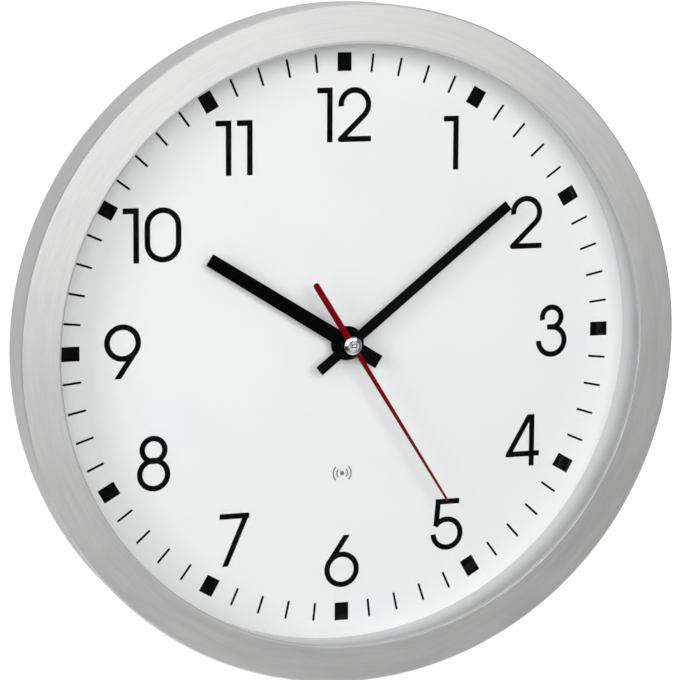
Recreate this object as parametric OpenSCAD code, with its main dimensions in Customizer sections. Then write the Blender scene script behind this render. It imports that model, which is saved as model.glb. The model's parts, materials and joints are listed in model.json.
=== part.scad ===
// Radio-controlled wall clock with an aluminium case ring and three hands.
// Every piece is drawn with the clock lying on its back: X to the right of the
// dial, Y up the dial, Z from the wall towards the viewer. hung() then stands
// it up, so the clock faces -Y with +Z up. The origin is the centre of the
// hanging hole, on the wall.

/* [Case ring] */
// Outer diameter of the case ring
case_d = 300; // [292:1:320]
// Width of the front face, from the window to the side wall
face_w = 17.2; // [14.4:0.2:18]
// Thickness of the aluminium sheet
case_sheet = 0.8; // [0.6:0.1:0.9]
// Radius of the rolled window edge and of the outer front corner
edge_r = 1; // [0.9:0.05:1.3]
// How far the front face rises from its outer corner to the window
face_rise = 0.8; // [0.4:0.1:4]

/* [Layers from the wall to the glass] */
// Gap between the wall and the movement
wall_gap = 0.9; // [0.8:0.1:4]
// Depth of the movement's housing
movement_t = 15.8; // [15.4:0.1:20]
// Thickness of the case back's plate
plate_t = 2.5; // [2:0.1:4]
// Thickness of the dial sheet
dial_t = 0.8; // [0.5:0.1:1.5]
// Room between the dial and the gasket
dial_room = 19.4; // [17.5:0.1:26]
// Thickness of the gasket under the glass
gasket_t = 0.5; // [0.3:0.1:1]
// Thickness of the glass
glass_t = 2.2; // [1.8:0.1:3]
// How far the glass and the dial reach under the case ring
glass_tuck = 5; // [4:0.2:5]
// How far the ring's inner edge reaches over the white wall round the dial
wall_tuck = 3; // [1:0.1:3.2]

/* [Case back] */
// Distance from the case ring's wall to the rim that meets the wall
rim_inset = 8; // [8:0.5:12]
// Thickness of that rim
rim_t = 2.5; // [2:0.1:4]
// Height of the stiffening ribs
rib_h = 5; // [3:0.5:8]
// Thickness of the stiffening ribs
rib_t = 1.8; // [1.2:0.1:3]
// Number of stiffening ribs
rib_count = 12; // [6:6:24]
// Number of case screws
screw_count = 6; // [3:1:12]
// Diameter of a case screw's thread
screw_d = 2.5; // [2:0.1:3]
// Diameter of a case screw's head
screw_head_d = 4.8; // [4:0.1:4.8]
// Height of a case screw's head
screw_head_h = 1.8; // [1:0.1:2.5]
// Length of a case screw's thread
screw_len = 8; // [6:0.5:12]

/* [Hanging hole] */
// Height of the hanging hole above the centre of the dial
hang_height = 105; // [80:1:108]
// Diameter of the round hole that the screw head enters
hang_hole_d = 9; // [8:0.5:11]
// Width of the slot that the screw's neck hangs in
hang_slot_w = 4.6; // [3.5:0.1:5]
// Length of the slot above the round hole's centre
hang_slot_len = 8; // [6:0.5:12]
// Thickness of the plate round the hanging hole
hang_plate_t = 2; // [1.5:0.1:3]

/* [Dial print] */
// Gap between the window's edge and the marks
mark_inset = 5; // [4.5:0.1:12]
// Length of a mark
mark_len = 8.2; // [5:0.2:10]
// Width of an hour block
block_w = 6.4; // [4:0.2:8]
// Width of a minute stroke
minute_mark_w = 1; // [0.6:0.1:2]
// Gap between the marks and the numerals
numeral_inset = 7.1; // [4:0.1:14]
// Height of a numeral
numeral_h = 24; // [16:0.5:26]
// Width of a numeral's stroke, at a height of 24
numeral_stroke = 2.5; // [1.5:0.1:3.5]
// Thickness of the printed ink
ink_t = 0.1; // [0.05:0.01:0.2]
// Height of the reception mark below the centre of the dial
signal_drop = 60; // [45:1:70]
// Width of the reception mark
signal_w = 9; // [6:0.5:14]

/* [Hour hand] */
// Angle of the hour hand, clockwise from twelve
hour_angle = 302; // [0:1:359]
// Length from the centre to the tip
hour_len = 74.4; // [60:0.2:85]
// Length of the tail
hour_tail = 17.4; // [10:0.2:25]
// Width at the tip
hour_tip_w = 5.9; // [3:0.1:9]
// Width at the centre
hour_root_w = 6.6; // [5:0.1:9]
// Diameter of the round hub
hour_hub_d = 15.4; // [12:0.2:18]
// Height of the hour hand above the dial
hour_lift = 6; // [5:0.1:7]

/* [Minute hand] */
// Angle of the minute hand, clockwise from twelve
minute_angle = 51.3; // [0:0.1:359]
// Length from the centre to the tip
minute_len = 95.2; // [85:0.1:105]
// Length of the tail
minute_tail = 18.2; // [10:0.2:25]
// Width of the hand
minute_w = 4.7; // [3.5:0.1:6]
// Height of the minute hand above the dial
minute_lift = 9.7; // [9:0.1:10.5]

/* [Second hand] */
// Angle of the second hand, clockwise from twelve
second_angle = 148; // [0:1:359]
// Length from the centre to the tip
second_len = 85.7; // [70:0.1:105]
// Length of the tail
second_tail = 33.4; // [20:0.1:40]
// Width of the tail
second_tail_w = 2.8; // [1.8:0.1:4]
// Width of the long arm beside the centre
second_root_w = 2.2; // [1.5:0.1:3]
// Width of the long arm at its tip
second_tip_w = 1; // [0.6:0.1:1.5]
// Height of the second hand above the dial
second_lift = 13.9; // [13.5:0.1:14.3]
// Diameter of the chrome socket's flange
socket_d = 8; // [6:0.2:9]
// Diameter of the chrome socket's dome
socket_dome_d = 5; // [3.5:0.1:5.5]

/* [Hand sheets and arbors] */
// Thickness of the hour and minute hands
hand_t = 0.5; // [0.3:0.05:0.8]
// Thickness of the second hand
second_t = 0.3; // [0.2:0.05:0.5]
// Diameter of the second hand's arbor
second_arbor_d = 1.2; // [1:0.05:1.3]
// Outer diameter of the minute tube
minute_tube_d = 2.2; // [2.1:0.02:2.3]
// Outer diameter of the hour tube
hour_tube_d = 4; // [3.2:0.1:4.4]
// Outer diameter of the threaded bush
bush_d = 8; // [7:0.1:9]
// Height of the threaded bush above the dial
bush_stand = 3.2; // [2.8:0.1:4]
// Gap round a turning arbor, tube or button
running_gap = 0.05; // [0.03:0.01:0.08]
// Gap round a piece that is pushed on and stays
seat_gap = 0.02; // [0.01:0.01:0.03]

/* [Movement housing] */
// Gap between a motor coil and the housing's wall
motor_gap = 0.4; // [0.3:0.1:4]
// Height of the housing's top above the hands' axis
movement_top = 34; // [34:0.5:40]
// Thickness of the housing's walls
shell_t = 1.5; // [1.2:0.1:1.7]
// Thickness of the housing in front of the battery
bay_floor_t = 0.8; // [0.5:0.1:1]
// Clearance round the battery cell
bay_gap = 0.8; // [0.5:0.1:1.5]

/* [Gear train] */
// Module of the fast wheels
fast_module = 0.25; // [0.24:0.002:0.252]
// Module of the wheels on the hands' axis
slow_module = 0.3; // [0.29:0.002:0.306]
// Thickness of a wheel
gear_t = 0.8; // [0.6:0.05:0.85]
// Gap between two layers of wheels
layer_gap = 0.5; // [0.35:0.05:0.6]
// Thickness of the gear plate
gear_plate_t = 0.8; // [0.6:0.05:1.2]
// Diameter of an arbor's pivots
pivot_d = 0.8; // [0.6:0.05:1]
// Depth of a pivot in the housing
pivot_depth = 0.9; // [0.5:0.05:1]

/* [Motors and electronics] */
// Diameter of a rotor's magnet
magnet_d = 4.4; // [4:0.1:5.2]
// Height of a rotor's magnet
magnet_h = 1.6; // [1.2:0.1:2]
// Gap between a magnet and its stator
air_gap = 0.4; // [0.2:0.05:0.6]
// Thickness of a stator plate
stator_t = 0.8; // [0.5:0.05:1]
// Length of a motor coil
coil_len = 13; // [10:0.5:14]
// Width of a motor coil
coil_w = 4.8; // [4:0.1:5]
// Thickness of the circuit board
board_t = 0.8; // [0.6:0.05:0.9]
// Diameter of the antenna's ferrite rod
rod_d = 8; // [6:0.2:9]
// Length of the antenna's ferrite rod
rod_len = 52; // [40:0.5:55]
// Diameter of the antenna's winding
antenna_coil_d = 10.4; // [9.6:0.1:11]
// Length of the antenna's winding
antenna_coil_len = 24; // [16:1:32]

/* [Battery and buttons] */
// Diameter of the battery cell
cell_d = 14.5; // [14:0.1:14.6]
// Length of the battery cell with its nub
cell_len = 50.5; // [49:0.1:51]
// Depth of a battery contact's spring, from its plate to the cell
contact_depth = 3.2; // [2.5:0.1:5]
// Diameter of a button
button_d = 4; // [3:0.1:5]
// How far a button stands out of the movement
button_stand = 0.6; // [0.3:0.1:0.8]
// Travel of a button
button_travel = 0.7; // [0.4:0.1:0.9]
// Distance between two buttons
button_pitch = 18; // [10:0.5:20]

/* [Hidden] */

$fn = 96;
eps = 0.01;

// Radii of the case
case_r = case_d / 2;
window_r = case_r - face_w;
glass_r = window_r + glass_tuck;
tucked_r = glass_r - 0.2;
wall_r = window_r + wall_tuck;
flange_r = glass_r + 0.4;
back_r = case_r - case_sheet - 0.4;
rim_r = case_r - rim_inset;
screw_ring_r = rim_r + screw_head_d / 2 + 0.3;

// Circles of the dial print, from the window's edge inwards
mark_ring_r = window_r - mark_inset - mark_len / 2;
numeral_ring_r = mark_ring_r - mark_len / 2 - numeral_inset - numeral_h / 2;

// Heights of the layers above the wall
z_movement = wall_gap;
z_plate = z_movement + movement_t;
z_dial_back = z_plate + plate_t;
z_dial = z_dial_back + dial_t;
z_gasket = z_dial + dial_room;
z_glass = z_gasket + gasket_t;
z_seat = z_glass + glass_t;

// Heights inside the movement
z_back_in = z_movement + shell_t;
z_front_in = z_plate - shell_t;
button_flange_t = 0.4;
z_board = z_back_in + button_flange_t + button_travel + 0.1;
z_board_top = z_board + board_t;
z_first = z_board_top + 0.8;
z_second = z_first + gear_t + layer_gap;
z_third = z_second + gear_t + layer_gap;
z_gear_plate = z_third + gear_t + layer_gap;
z_minute = z_gear_plate + gear_plate_t + layer_gap;
z_motion = z_minute + gear_t + layer_gap;
z_hour = z_motion + gear_t + layer_gap;
end_gap = 0.1;
z_pivot_low = z_back_in - pivot_depth;
z_magnet = z_first + gear_t + 0.6;
z_stator = z_magnet + (magnet_h - stator_t) / 2;

// Teeth: both trains step down with pinions of 8 leaves
pinion_teeth = 8;
fast_teeth = 48;
centre_teeth = 40;
cannon_teeth = 12;
motion_teeth = 36;
motion_pinion_teeth = 10;
hour_teeth = 40;
fast_distance = fast_module * (pinion_teeth + fast_teeth) / 2;
slow_distance = slow_module * (pinion_teeth + centre_teeth) / 2;
motion_distance = fast_module * (cannon_teeth + motion_teeth) / 2;
hour_module = 2 * motion_distance / (motion_pinion_teeth + hour_teeth);

// Directions from one axis of a train to the next, counterclockwise from +X
seconds_dirs = [180, 200];
minutes_dirs = [0, -50, 30];
motion_dir = 180;
function step(from, dir, dist) = from + dist * [cos(dir), sin(dir)];
centre = [0, 0];
seconds_mid_at = step(centre, seconds_dirs[0], slow_distance);
seconds_rotor_at = step(seconds_mid_at, seconds_dirs[1], fast_distance);
minutes_third_at = step(centre, minutes_dirs[0], slow_distance);
minutes_mid_at = step(minutes_third_at, minutes_dirs[1], fast_distance);
minutes_rotor_at = step(minutes_mid_at, minutes_dirs[2], fast_distance);
motion_at = step(centre, motion_dir, motion_distance);
low_pivots = [centre, seconds_mid_at, seconds_rotor_at, minutes_third_at,
              minutes_mid_at, minutes_rotor_at];

// Motor parts beside each rotor
stator_half_w = 4;
stator_half_len = 11;
core_w = 2.4;
coil_offset = 7.9;
coil_h = 5;
motor_reach = max(minutes_rotor_at[0], -seconds_rotor_at[0]) + coil_offset + coil_w / 2;

// Battery bay under the wheels
bay_wall_t = 1;
bay_top = -15.4 - bay_wall_t;
cell_y = bay_top - bay_gap - cell_d / 2;
movement_bottom = cell_y - cell_d / 2 - bay_gap - shell_t;
z_bay_floor = z_plate - bay_floor_t;
cell_z = z_bay_floor - 0.2 - cell_d / 2;

// Width of the housing: what the cell and its contacts need, or the motors
contact_gap = 0.05;
bay_half = max(cell_len / 2 + contact_gap + contact_depth, motor_reach + motor_gap);
movement_w = 2 * (bay_half + shell_t);

// Circuit board, and the places of its parts
board_edge_gap = 1;
board_top_y = 19;
board_low_y = bay_top + bay_wall_t + 0.6;
board_half = bay_half - board_edge_gap;
board_pillar_in = 2.8;
chip_at = [-10, board_top_y - 5];
crystal_at = [6, board_top_y - 6];
barrier_at = [-1, -7];

// Gear plate round the axes of the fast wheels
gear_plate_side = 4.8;
gear_plate_low_y = -14;
gear_plate_high_y = 10;
gear_plate_x = [seconds_rotor_at[0] - gear_plate_side, minutes_rotor_at[0] + gear_plate_side];
pillar_in = 2;

// Antenna above the wheels
antenna_y = movement_top - shell_t - 0.6 - antenna_coil_d / 2;
antenna_z = (z_back_in + z_front_in) / 2;

// Hands and arbors
second_arbor_r = second_arbor_d / 2;
minute_tube_r = minute_tube_d / 2;
hour_tube_r = hour_tube_d / 2;
bush_r = bush_d / 2;
washer_h = 0.4;
nut_h = 2;
rubber_t = 1;
rubber_r = 12;
button_y = 13.5;

// The clock stood up against the wall, with the hanging hole at the origin
module hung() {
  rotate([90, 0, 0]) translate([0, -hang_height, 0]) children();
}

module tube(outer_r, inner_r, h) {
  difference() {
    cylinder(r = outer_r, h = h);
    translate([0, 0, -eps]) cylinder(r = inner_r, h = h + 2 * eps);
  }
}

module at(place, z = 0) {
  translate([place[0], place[1], z]) children();
}

function arc(c, r, from, to, steps) =
  [for (i = [0 : steps]) let (a = from + (to - from) * i / steps)
    c + r * [cos(a), sin(a)]];

// Case ring: a spun section of radius and height, turned round the dial's axis.
// The face is the common tangent of the outer corner and the rolled edge, and
// the sheet is folded back under it as a hem that lies on the glass.
corner_c = [case_r - edge_r, z_seat + edge_r - face_rise];
roll_c = [window_r + edge_r, z_seat + edge_r];
face_tilt = atan2(roll_c[1] - corner_c[1], corner_c[0] - roll_c[0]);
face_normal = [sin(face_tilt), cos(face_tilt)];
face_in = corner_c + (edge_r - case_sheet) * face_normal;
hem_r = glass_r + 0.3;
hem_top = face_in[1] + (face_in[0] - hem_r) * tan(face_tilt);

module case_ring() {
  wall_in_r = case_r - case_sheet;
  color("silver") hung() difference() {
    rotate_extrude($fn = 180) polygon(concat(
      [[case_r, z_dial_back]],
      arc(corner_c, edge_r, 0, 90 - face_tilt, 6),
      arc(roll_c, edge_r, 90 - face_tilt, 270, 12),
      [[hem_r, z_seat], [hem_r, hem_top], [wall_in_r, face_in[1]],
       [wall_in_r, z_dial_back + case_sheet],
       [flange_r, z_dial_back + case_sheet], [flange_r, z_dial_back]]));
    screw_places() translate([0, 0, z_dial_back - 1])
      cylinder(d = screw_d + 0.1, h = case_sheet + 2);
  }
}

module screw_places() {
  for (i = [0 : screw_count - 1])
    rotate(360 * (i + 0.5) / screw_count) translate([screw_ring_r, 0]) children();
}

module front_glass() {
  bevel = 0.3;
  color([0.85, 0.92, 0.93, 0.3]) hung() rotate_extrude($fn = 180) polygon([
    [0, z_glass], [glass_r - bevel, z_glass], [glass_r, z_glass + bevel],
    [glass_r, z_seat - bevel], [glass_r - bevel, z_seat], [0, z_seat]]);
}

module glass_gasket() {
  color("whitesmoke") hung() translate([0, 0, z_gasket])
    tube(tucked_r, wall_r + 0.2, gasket_t, $fn = 180);
}

// Spacer ring: the white wall round the dial, set back under the ring's edge
module spacer_ring() {
  color("white") hung() translate([0, 0, z_dial])
    tube(tucked_r, wall_r, dial_room, $fn = 180);
}

module dial_plate() {
  color("white") hung() translate([0, 0, z_dial_back])
    tube(tucked_r, bush_r + 0.1, dial_t, $fn = 180);
}

// Dial print: flat shapes of ink on the dial
module ink() {
  color("black") hung() translate([0, 0, z_dial]) linear_extrude(ink_t) children();
}

module clock_place(minute, r) {
  rotate(-6 * minute) translate([0, r]) children();
}

module hour_blocks() {
  ink() for (hour = [1 : 12]) clock_place(5 * hour, mark_ring_r)
    square([block_w, mark_len], center = true);
}

module minute_strokes() {
  ink() for (minute = [1 : 59]) if (minute % 5 != 0)
    clock_place(minute, mark_ring_r)
      square([minute_mark_w, mark_len], center = true);
}

// A numeral is drawn 24 high round its middle, from straight and round strokes
base_h = 24;
top_y = base_h / 2;
half = numeral_stroke / 2;
module bar(from, to) {
  run = to - from;
  translate(from) rotate(atan2(run[1], run[0]))
    translate([0, -half]) square([norm(run), numeral_stroke]);
}

module bow(c, r, from, to) {
  translate(c) intersection() {
    difference() {
      circle(r = r + half, $fn = 64);
      circle(r = r - half, $fn = 64);
    }
    polygon(concat([[0, 0]], arc([0, 0], 3 * r, from, to, 12)));
  }
}

digit_w = [16.4, 7.1, 15.4, 15, 16.4, 15.9, 16.4, 13.7, 15.4, 16.4];
digit_gap = 2.5;

module digit(n) {
  w = digit_w[n];
  if (n == 0) {
    r = w / 2 - half;
    rise = top_y - w / 2;
    for (side = [half, w - half]) bar([side, -rise], [side, rise]);
    bow([w / 2, rise], r, 0, 180);
    bow([w / 2, -rise], r, 180, 360);
  }
  if (n == 1) {
    bar([0, top_y - half], [w, top_y - half]);
    bar([w - half, -top_y], [w - half, top_y]);
  }
  if (n == 2) {
    c = [7.8, 4.4];
    r = 7.6 - half;
    turn = -46;
    bow(c, r, turn, 187);
    bar(c + r * [cos(turn), sin(turn)], [half, half - top_y]);
    translate([half, half - top_y]) circle(r = half, $fn = 32);
    bar([half, half - top_y], [w, half - top_y]);
  }
  if (n == 3) {
    bow([7.4, 6.3], 4.6, -90, 195);
    bar([5.2, 1.8], [8, 1.8]);
    bow([7.4, -4.5], 6.3, -181, 90);
  }
  if (n == 4) {
    bar([w - 2.5 - half, -top_y], [w - 2.5 - half, top_y]);
    bar([0.3, -6.2], [w, -6.2]);
    intersection() {
      bar([0.3, -8], [12.6, 13.2]);
      translate([0, -6.2 - half]) square([w, top_y + 6.2 + half]);
    }
  }
  if (n == 5) {
    bar([2.6, top_y - half], [14.1, top_y - half]);
    bar([3.9, top_y - half], [2.9, -0.6]);
    bow([8.1, -4.1], 7.8 - half, -178, 148);
  }
  if (n == 6) {
    r = w / 2 - half;
    c = [w / 2, w / 2 - top_y];
    lean = 56;
    tail_from = c + (r - 0.1) * [-sin(lean), cos(lean)];
    bow(c, r, 0, 180);
    bow(c, r, 180, 360);
    intersection() {
      bar(tail_from, tail_from + 17 * [cos(lean), sin(lean)]);
      translate([0, -top_y]) square([w, 2 * top_y]);
    }
  }
  if (n == 7) {
    bar([0, top_y - half], [w, top_y - half]);
    intersection() {
      bar([w - 0.6, top_y + 0.8], [2, -top_y - 1]);
      translate([0, -top_y]) square([w, 2 * top_y]);
    }
  }
  if (n == 8) {
    for (loop = [[5.1, 6.1], [6.3, -4.9]]) {
      bow([w / 2, loop[1]], loop[0], 0, 180);
      bow([w / 2, loop[1]], loop[0], 180, 360);
    }
  }
  if (n == 9) {
    translate([w, 0]) rotate(180) digit(6);
  }
}

module numeral(n) {
  digits = n < 10 ? [n] : [floor(n / 10), n % 10];
  first_w = digit_w[digits[0]];
  total = n < 10 ? first_w : first_w + digit_gap + digit_w[digits[1]];
  scale(numeral_h / base_h) translate([-total / 2, 0]) {
    digit(digits[0]);
    if (n >= 10) translate([first_w + digit_gap, 0]) digit(digits[1]);
  }
}

module dial_numerals() {
  ink() for (hour = [1 : 12])
    translate(numeral_ring_r * [sin(30 * hour), cos(30 * hour)]) numeral(hour);
}

// Reception mark: a plain dot with a pair of waves on each side
module reception_mark() {
  wave_t = signal_w / 16;
  color("gray") hung() translate([0, -signal_drop, z_dial]) linear_extrude(ink_t) {
    circle(r = signal_w / 9, $fn = 32);
    for (r = [signal_w / 4, signal_w / 2 - wave_t], side = [0, 180])
      rotate(side) intersection() {
        difference() {
          circle(r = r + wave_t, $fn = 48);
          circle(r = r, $fn = 48);
        }
        polygon([[0, 0], [signal_w, -signal_w], [signal_w, signal_w]]);
      }
  }
}

// Case back: plate, rim on the wall, ribs, frame round the movement and the
// pocket behind the hanging hole
pocket_t = 2;
pocket_half_w = 12;
pocket_low = hang_height - 8;
pocket_high = hang_height + hang_slot_len + 10;
frame_gap = 0.4;
frame_t = 2;
frame_h = rib_h + 1;

module case_back() {
  mid_y = (movement_top + movement_bottom) / 2;
  tall = movement_top - movement_bottom;
  rib_from = norm([movement_w / 2, tall / 2 + abs(mid_y)]) + frame_t + 4;
  pocket_h = pocket_high - pocket_low;
  color("dimgray") hung() difference() {
    union() {
      translate([0, 0, z_plate]) cylinder(r = back_r, h = plate_t, $fn = 180);
      tube(rim_r, rim_r - rim_t, z_plate + eps, $fn = 180);
      for (i = [0 : rib_count - 1]) rotate(360 * (i + 0.5) / rib_count)
        translate([rib_from, -rib_t / 2, z_plate - rib_h])
          cube([rim_r - rim_t / 2 - rib_from, rib_t, rib_h + eps]);
      translate([0, mid_y, z_plate - frame_h / 2 + eps]) difference() {
        cube([movement_w + 2 * (frame_gap + frame_t),
              tall + 2 * (frame_gap + frame_t), frame_h], center = true);
        cube([movement_w + 2 * frame_gap, tall + 2 * frame_gap, frame_h + 1],
             center = true);
      }
      translate([-pocket_half_w - pocket_t, pocket_low - pocket_t, 0])
        cube([2 * (pocket_half_w + pocket_t), pocket_h + 2 * pocket_t,
              z_plate + eps]);
    }
    translate([-pocket_half_w, pocket_low, hang_plate_t])
      cube([2 * pocket_half_w, pocket_h, z_plate - hang_plate_t]);
    hanging_hole();
    translate([0, 0, z_plate - 1]) cylinder(r = bush_r + 0.1, h = plate_t + 2);
    translate([0, 0, z_plate - 1]) cylinder(r = rubber_r + 0.3, h = rubber_t + 1);
    screw_places() translate([0, 0, z_plate - 1])
      cylinder(d = screw_d + 0.5, h = plate_t + 2);
  }
}

module hanging_hole() {
  translate([0, hang_height, -1]) {
    cylinder(d = hang_hole_d, h = hang_plate_t + 2);
    translate([-hang_slot_w / 2, 0, 0])
      cube([hang_slot_w, hang_slot_len, hang_plate_t + 2]);
    translate([0, hang_slot_len, 0])
      cylinder(d = hang_slot_w, h = hang_plate_t + 2);
  }
}

module case_screws() {
  slot_w = 0.6;
  color("gainsboro") hung() screw_places() {
    translate([0, 0, z_plate - eps]) cylinder(d = screw_d, h = screw_len);
    difference() {
      translate([0, 0, z_plate - screw_head_h]) cylinder(d = screw_head_d, h = screw_head_h);
      for (turn = [0, 90]) rotate(turn)
        translate([-1.4, -slot_w / 2, z_plate - screw_head_h - 1])
          cube([2.8, slot_w, 1.8]);
    }
  }
}

module rubber_washer() {
  color("#222222") hung() translate([0, 0, z_plate])
    tube(rubber_r, bush_r + 0.1, rubber_t);
}

module brass_washer() {
  color("goldenrod") hung() translate([0, 0, z_dial])
    tube(bush_r + 1.5, bush_r + 0.1, washer_h);
}

module fixing_nut() {
  color("goldenrod") hung() translate([0, 0, z_dial + washer_h]) difference() {
    cylinder(r = bush_r + 1.6, h = nut_h, $fn = 6);
    translate([0, 0, -1]) cylinder(r = bush_r + seat_gap, h = nut_h + 2);
  }
}

// Movement housing
pillar_places = [
  for (x = [gear_plate_x[0] + pillar_in, gear_plate_x[1] - pillar_in],
       y = [gear_plate_low_y + pillar_in, gear_plate_high_y - pillar_in]) [x, y]];
cradle_x = 21;
post_r = 0.75;
motion_hub_low = z_minute + gear_t + 0.1;

module movement_front_case() {
  tall = movement_top - movement_bottom;
  color("#2b2b2d") hung() difference() {
    union() {
      difference() {
        translate([-movement_w / 2, movement_bottom, z_back_in])
          cube([movement_w, tall, z_plate - z_back_in]);
        translate([-bay_half, bay_top + bay_wall_t, z_back_in - 1])
          cube([2 * bay_half, movement_top - shell_t - bay_top - bay_wall_t,
                z_front_in - z_back_in + 1]);
      }
      translate([-movement_w / 2, movement_bottom, z_movement])
        cube([movement_w, bay_top + bay_wall_t - movement_bottom, z_plate - z_movement]);
      translate([0, 0, z_front_in]) cylinder(r = bush_r, h = z_dial + bush_stand - z_front_in);
      for (p = pillar_places) at(p, z_gear_plate + gear_plate_t)
        cylinder(r = 1.5, h = z_front_in - z_gear_plate - gear_plate_t + eps);
      at(motion_at, motion_hub_low + 0.1)
        cylinder(r = post_r, h = z_front_in - motion_hub_low);
      for (side = [-1, 1]) translate([side * cradle_x - 0.8, board_top_y + 1, antenna_z])
        cube([1.6, movement_top - shell_t - board_top_y - 1 + eps,
              z_front_in - antenna_z + eps]);
    }
    translate([-bay_half, movement_bottom + shell_t, z_movement - 1])
      cube([2 * bay_half, bay_top - movement_bottom - shell_t, z_bay_floor - z_movement + 1]);
    translate([0, 0, z_front_in - 1])
      cylinder(r = hour_tube_r + running_gap, h = z_dial + bush_stand - z_front_in + 2);
    at(minutes_third_at, z_front_in - 1)
      cylinder(d = pivot_d + 2 * running_gap, h = pivot_depth + 1.1);
    translate([-rod_len / 2 - 1, antenna_y, antenna_z]) rotate([0, 90, 0])
      cylinder(d = rod_d + 2 * seat_gap, h = rod_len + 2);
  }
}

board_pillars = [
  for (side = [-1, 1], y = [board_low_y + board_pillar_in, board_top_y - board_pillar_in])
    [side * (board_half - board_pillar_in), y]];
module movement_back_case() {
  low = bay_top + bay_wall_t + 0.1;
  color("#2b2b2d") hung() difference() {
    union() {
      translate([-movement_w / 2, low, z_movement])
        cube([movement_w, movement_top - low, shell_t]);
      for (p = board_pillars) at(p, z_back_in - eps)
        cylinder(r = 1.6, h = z_board - z_back_in + eps);
    }
    for (p = low_pivots) at(p, z_pivot_low - end_gap)
      cylinder(d = pivot_d + 2 * running_gap, h = pivot_depth + end_gap + 1);
    button_places() translate([0, 0, z_movement - 1])
      cylinder(d = button_d + 2 * running_gap, h = shell_t + 2);
  }
}

module button_places(only = [-1, 0, 1]) {
  for (i = only) translate([i * button_pitch, button_y, 0]) children();
}

// Gear plate: front bearings of the fast wheels, and pegs that hold the stators
module gear_plate() {
  peg_out = stator_half_len - 2;
  color("#e8e4d8") hung() difference() {
    union() {
      translate([gear_plate_x[0], gear_plate_low_y, z_gear_plate])
        cube([gear_plate_x[1] - gear_plate_x[0], gear_plate_high_y - gear_plate_low_y,
              gear_plate_t]);
      for (place = [seconds_rotor_at, minutes_rotor_at], side = [-1, 1])
        at(place + [0, side * peg_out], z_stator + stator_t)
          cylinder(r = 1.2, h = z_gear_plate - z_stator - stator_t + eps);
    }
    at(centre, z_gear_plate - 1)
      cylinder(r = second_arbor_r + running_gap, h = gear_plate_t + 2);
    at(minutes_third_at, z_gear_plate - 1) cylinder(r = 2, h = gear_plate_t + 2);
    for (p = [seconds_mid_at, seconds_rotor_at, minutes_mid_at, minutes_rotor_at])
      at(p, z_gear_plate - 1) cylinder(d = pivot_d + 2 * running_gap, h = gear_plate_t + 2);
  }
}

module circuit_board() {
  color("darkgreen") hung() difference() {
    translate([-board_half, board_low_y, z_board])
      cube([2 * board_half, board_top_y - board_low_y, board_t]);
    for (p = low_pivots) at(p, z_board - 1) cylinder(r = 1.2, h = board_t + 2);
  }
}

module receiver_chip() {
  color("#1c1c1e") hung() at(chip_at, z_board_top) {
    translate([-3, -3, 0.2]) cube([6, 6, 1.2]);
    for (side = [-1, 1], i = [-3 : 3])
      translate([side * 3.4 - 0.5, i * 0.8 - 0.15, 0]) cube([1, 0.3, 0.3]);
  }
}

module quartz_crystal() {
  can_r = 1.5;
  color("lightgray") hung() at(crystal_at, z_board_top + can_r) rotate([0, 90, 0]) {
    cylinder(r = can_r, h = 6);
    translate([0, 0, -0.6]) cylinder(r = can_r - 0.2, h = 0.7);
  }
}

module light_barrier() {
  color("#1c1c1e") hung() at(barrier_at, z_board_top)
    difference() {
      cube([4.2, 4, 1.6]);
      translate([1.1, 1.2, 1]) cube([2, 1.6, 1]);
    }
}

// Stepping motors: a closed stator frame with the coil on its outer limb
module stator(place, side) {
  translate([place[0], place[1], z_stator]) scale([side, 1, 1]) difference() {
    translate([-stator_half_w, -stator_half_len, 0])
      cube([stator_half_w + coil_offset + core_w / 2, 2 * stator_half_len, stator_t]);
    translate([stator_half_w, 3 - stator_half_len, -1])
      cube([coil_offset - core_w / 2 - stator_half_w, 2 * stator_half_len - 6, stator_t + 2]);
    translate([0, 0, -1]) cylinder(d = magnet_d + 2 * air_gap, h = stator_t + 2);
  }
}

module motor_coil(place, side) {
  gap = 2 * seat_gap;
  translate([place[0] + side * coil_offset, place[1], z_stator + stator_t / 2])
    difference() {
      cube([coil_w, coil_len, coil_h], center = true);
      cube([core_w + gap, coil_len + 1, stator_t + gap], center = true);
    }
}

module seconds_stator() { color("darkgray") hung() stator(seconds_rotor_at, -1); }
module minutes_stator() { color("darkgray") hung() stator(minutes_rotor_at, 1); }
module seconds_coil() { color("#b5652b") hung() motor_coil(seconds_rotor_at, -1); }
module minutes_coil() { color("#b5652b") hung() motor_coil(minutes_rotor_at, 1); }

module ferrite_rod() {
  color("#3a3a3c") hung() translate([-rod_len / 2, antenna_y, antenna_z])
    rotate([0, 90, 0]) cylinder(d = rod_d, h = rod_len);
}

module antenna_coil() {
  color("#b5652b") hung() translate([-antenna_coil_len / 2, antenna_y, antenna_z])
    rotate([0, 90, 0]) tube(antenna_coil_d / 2, rod_d / 2 + seat_gap, antenna_coil_len);
}

// Battery contacts: a plate on the bay's end wall with a sprung leaf
module contact(side, reach) {
  leaf_t = 0.3;
  leaf_w = 8;
  rise = 4.5;
  tip = reach - leaf_t;
  color("lightgray") hung() translate([side * bay_half, cell_y + leaf_w / 2, cell_z])
    rotate([90, 0, 0]) linear_extrude(leaf_w) scale([-side, 1]) {
      translate([0, -rise - 1]) square([leaf_t, 2 * rise + 2]);
      difference() {
        polygon([[leaf_t / 2, -rise], [leaf_t + tip, -0.4], [leaf_t + tip, 0.4],
                 [leaf_t / 2, rise]]);
        polygon([[0, leaf_t * 2 - rise], [tip, -0.3], [tip, 0.3], [0, rise - leaf_t * 2]]);
      }
    }
}

module negative_contact() { contact(-1, bay_half - cell_len / 2 - contact_gap); }
module positive_contact() { contact(1, bay_half - cell_len / 2 - contact_gap); }

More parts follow.
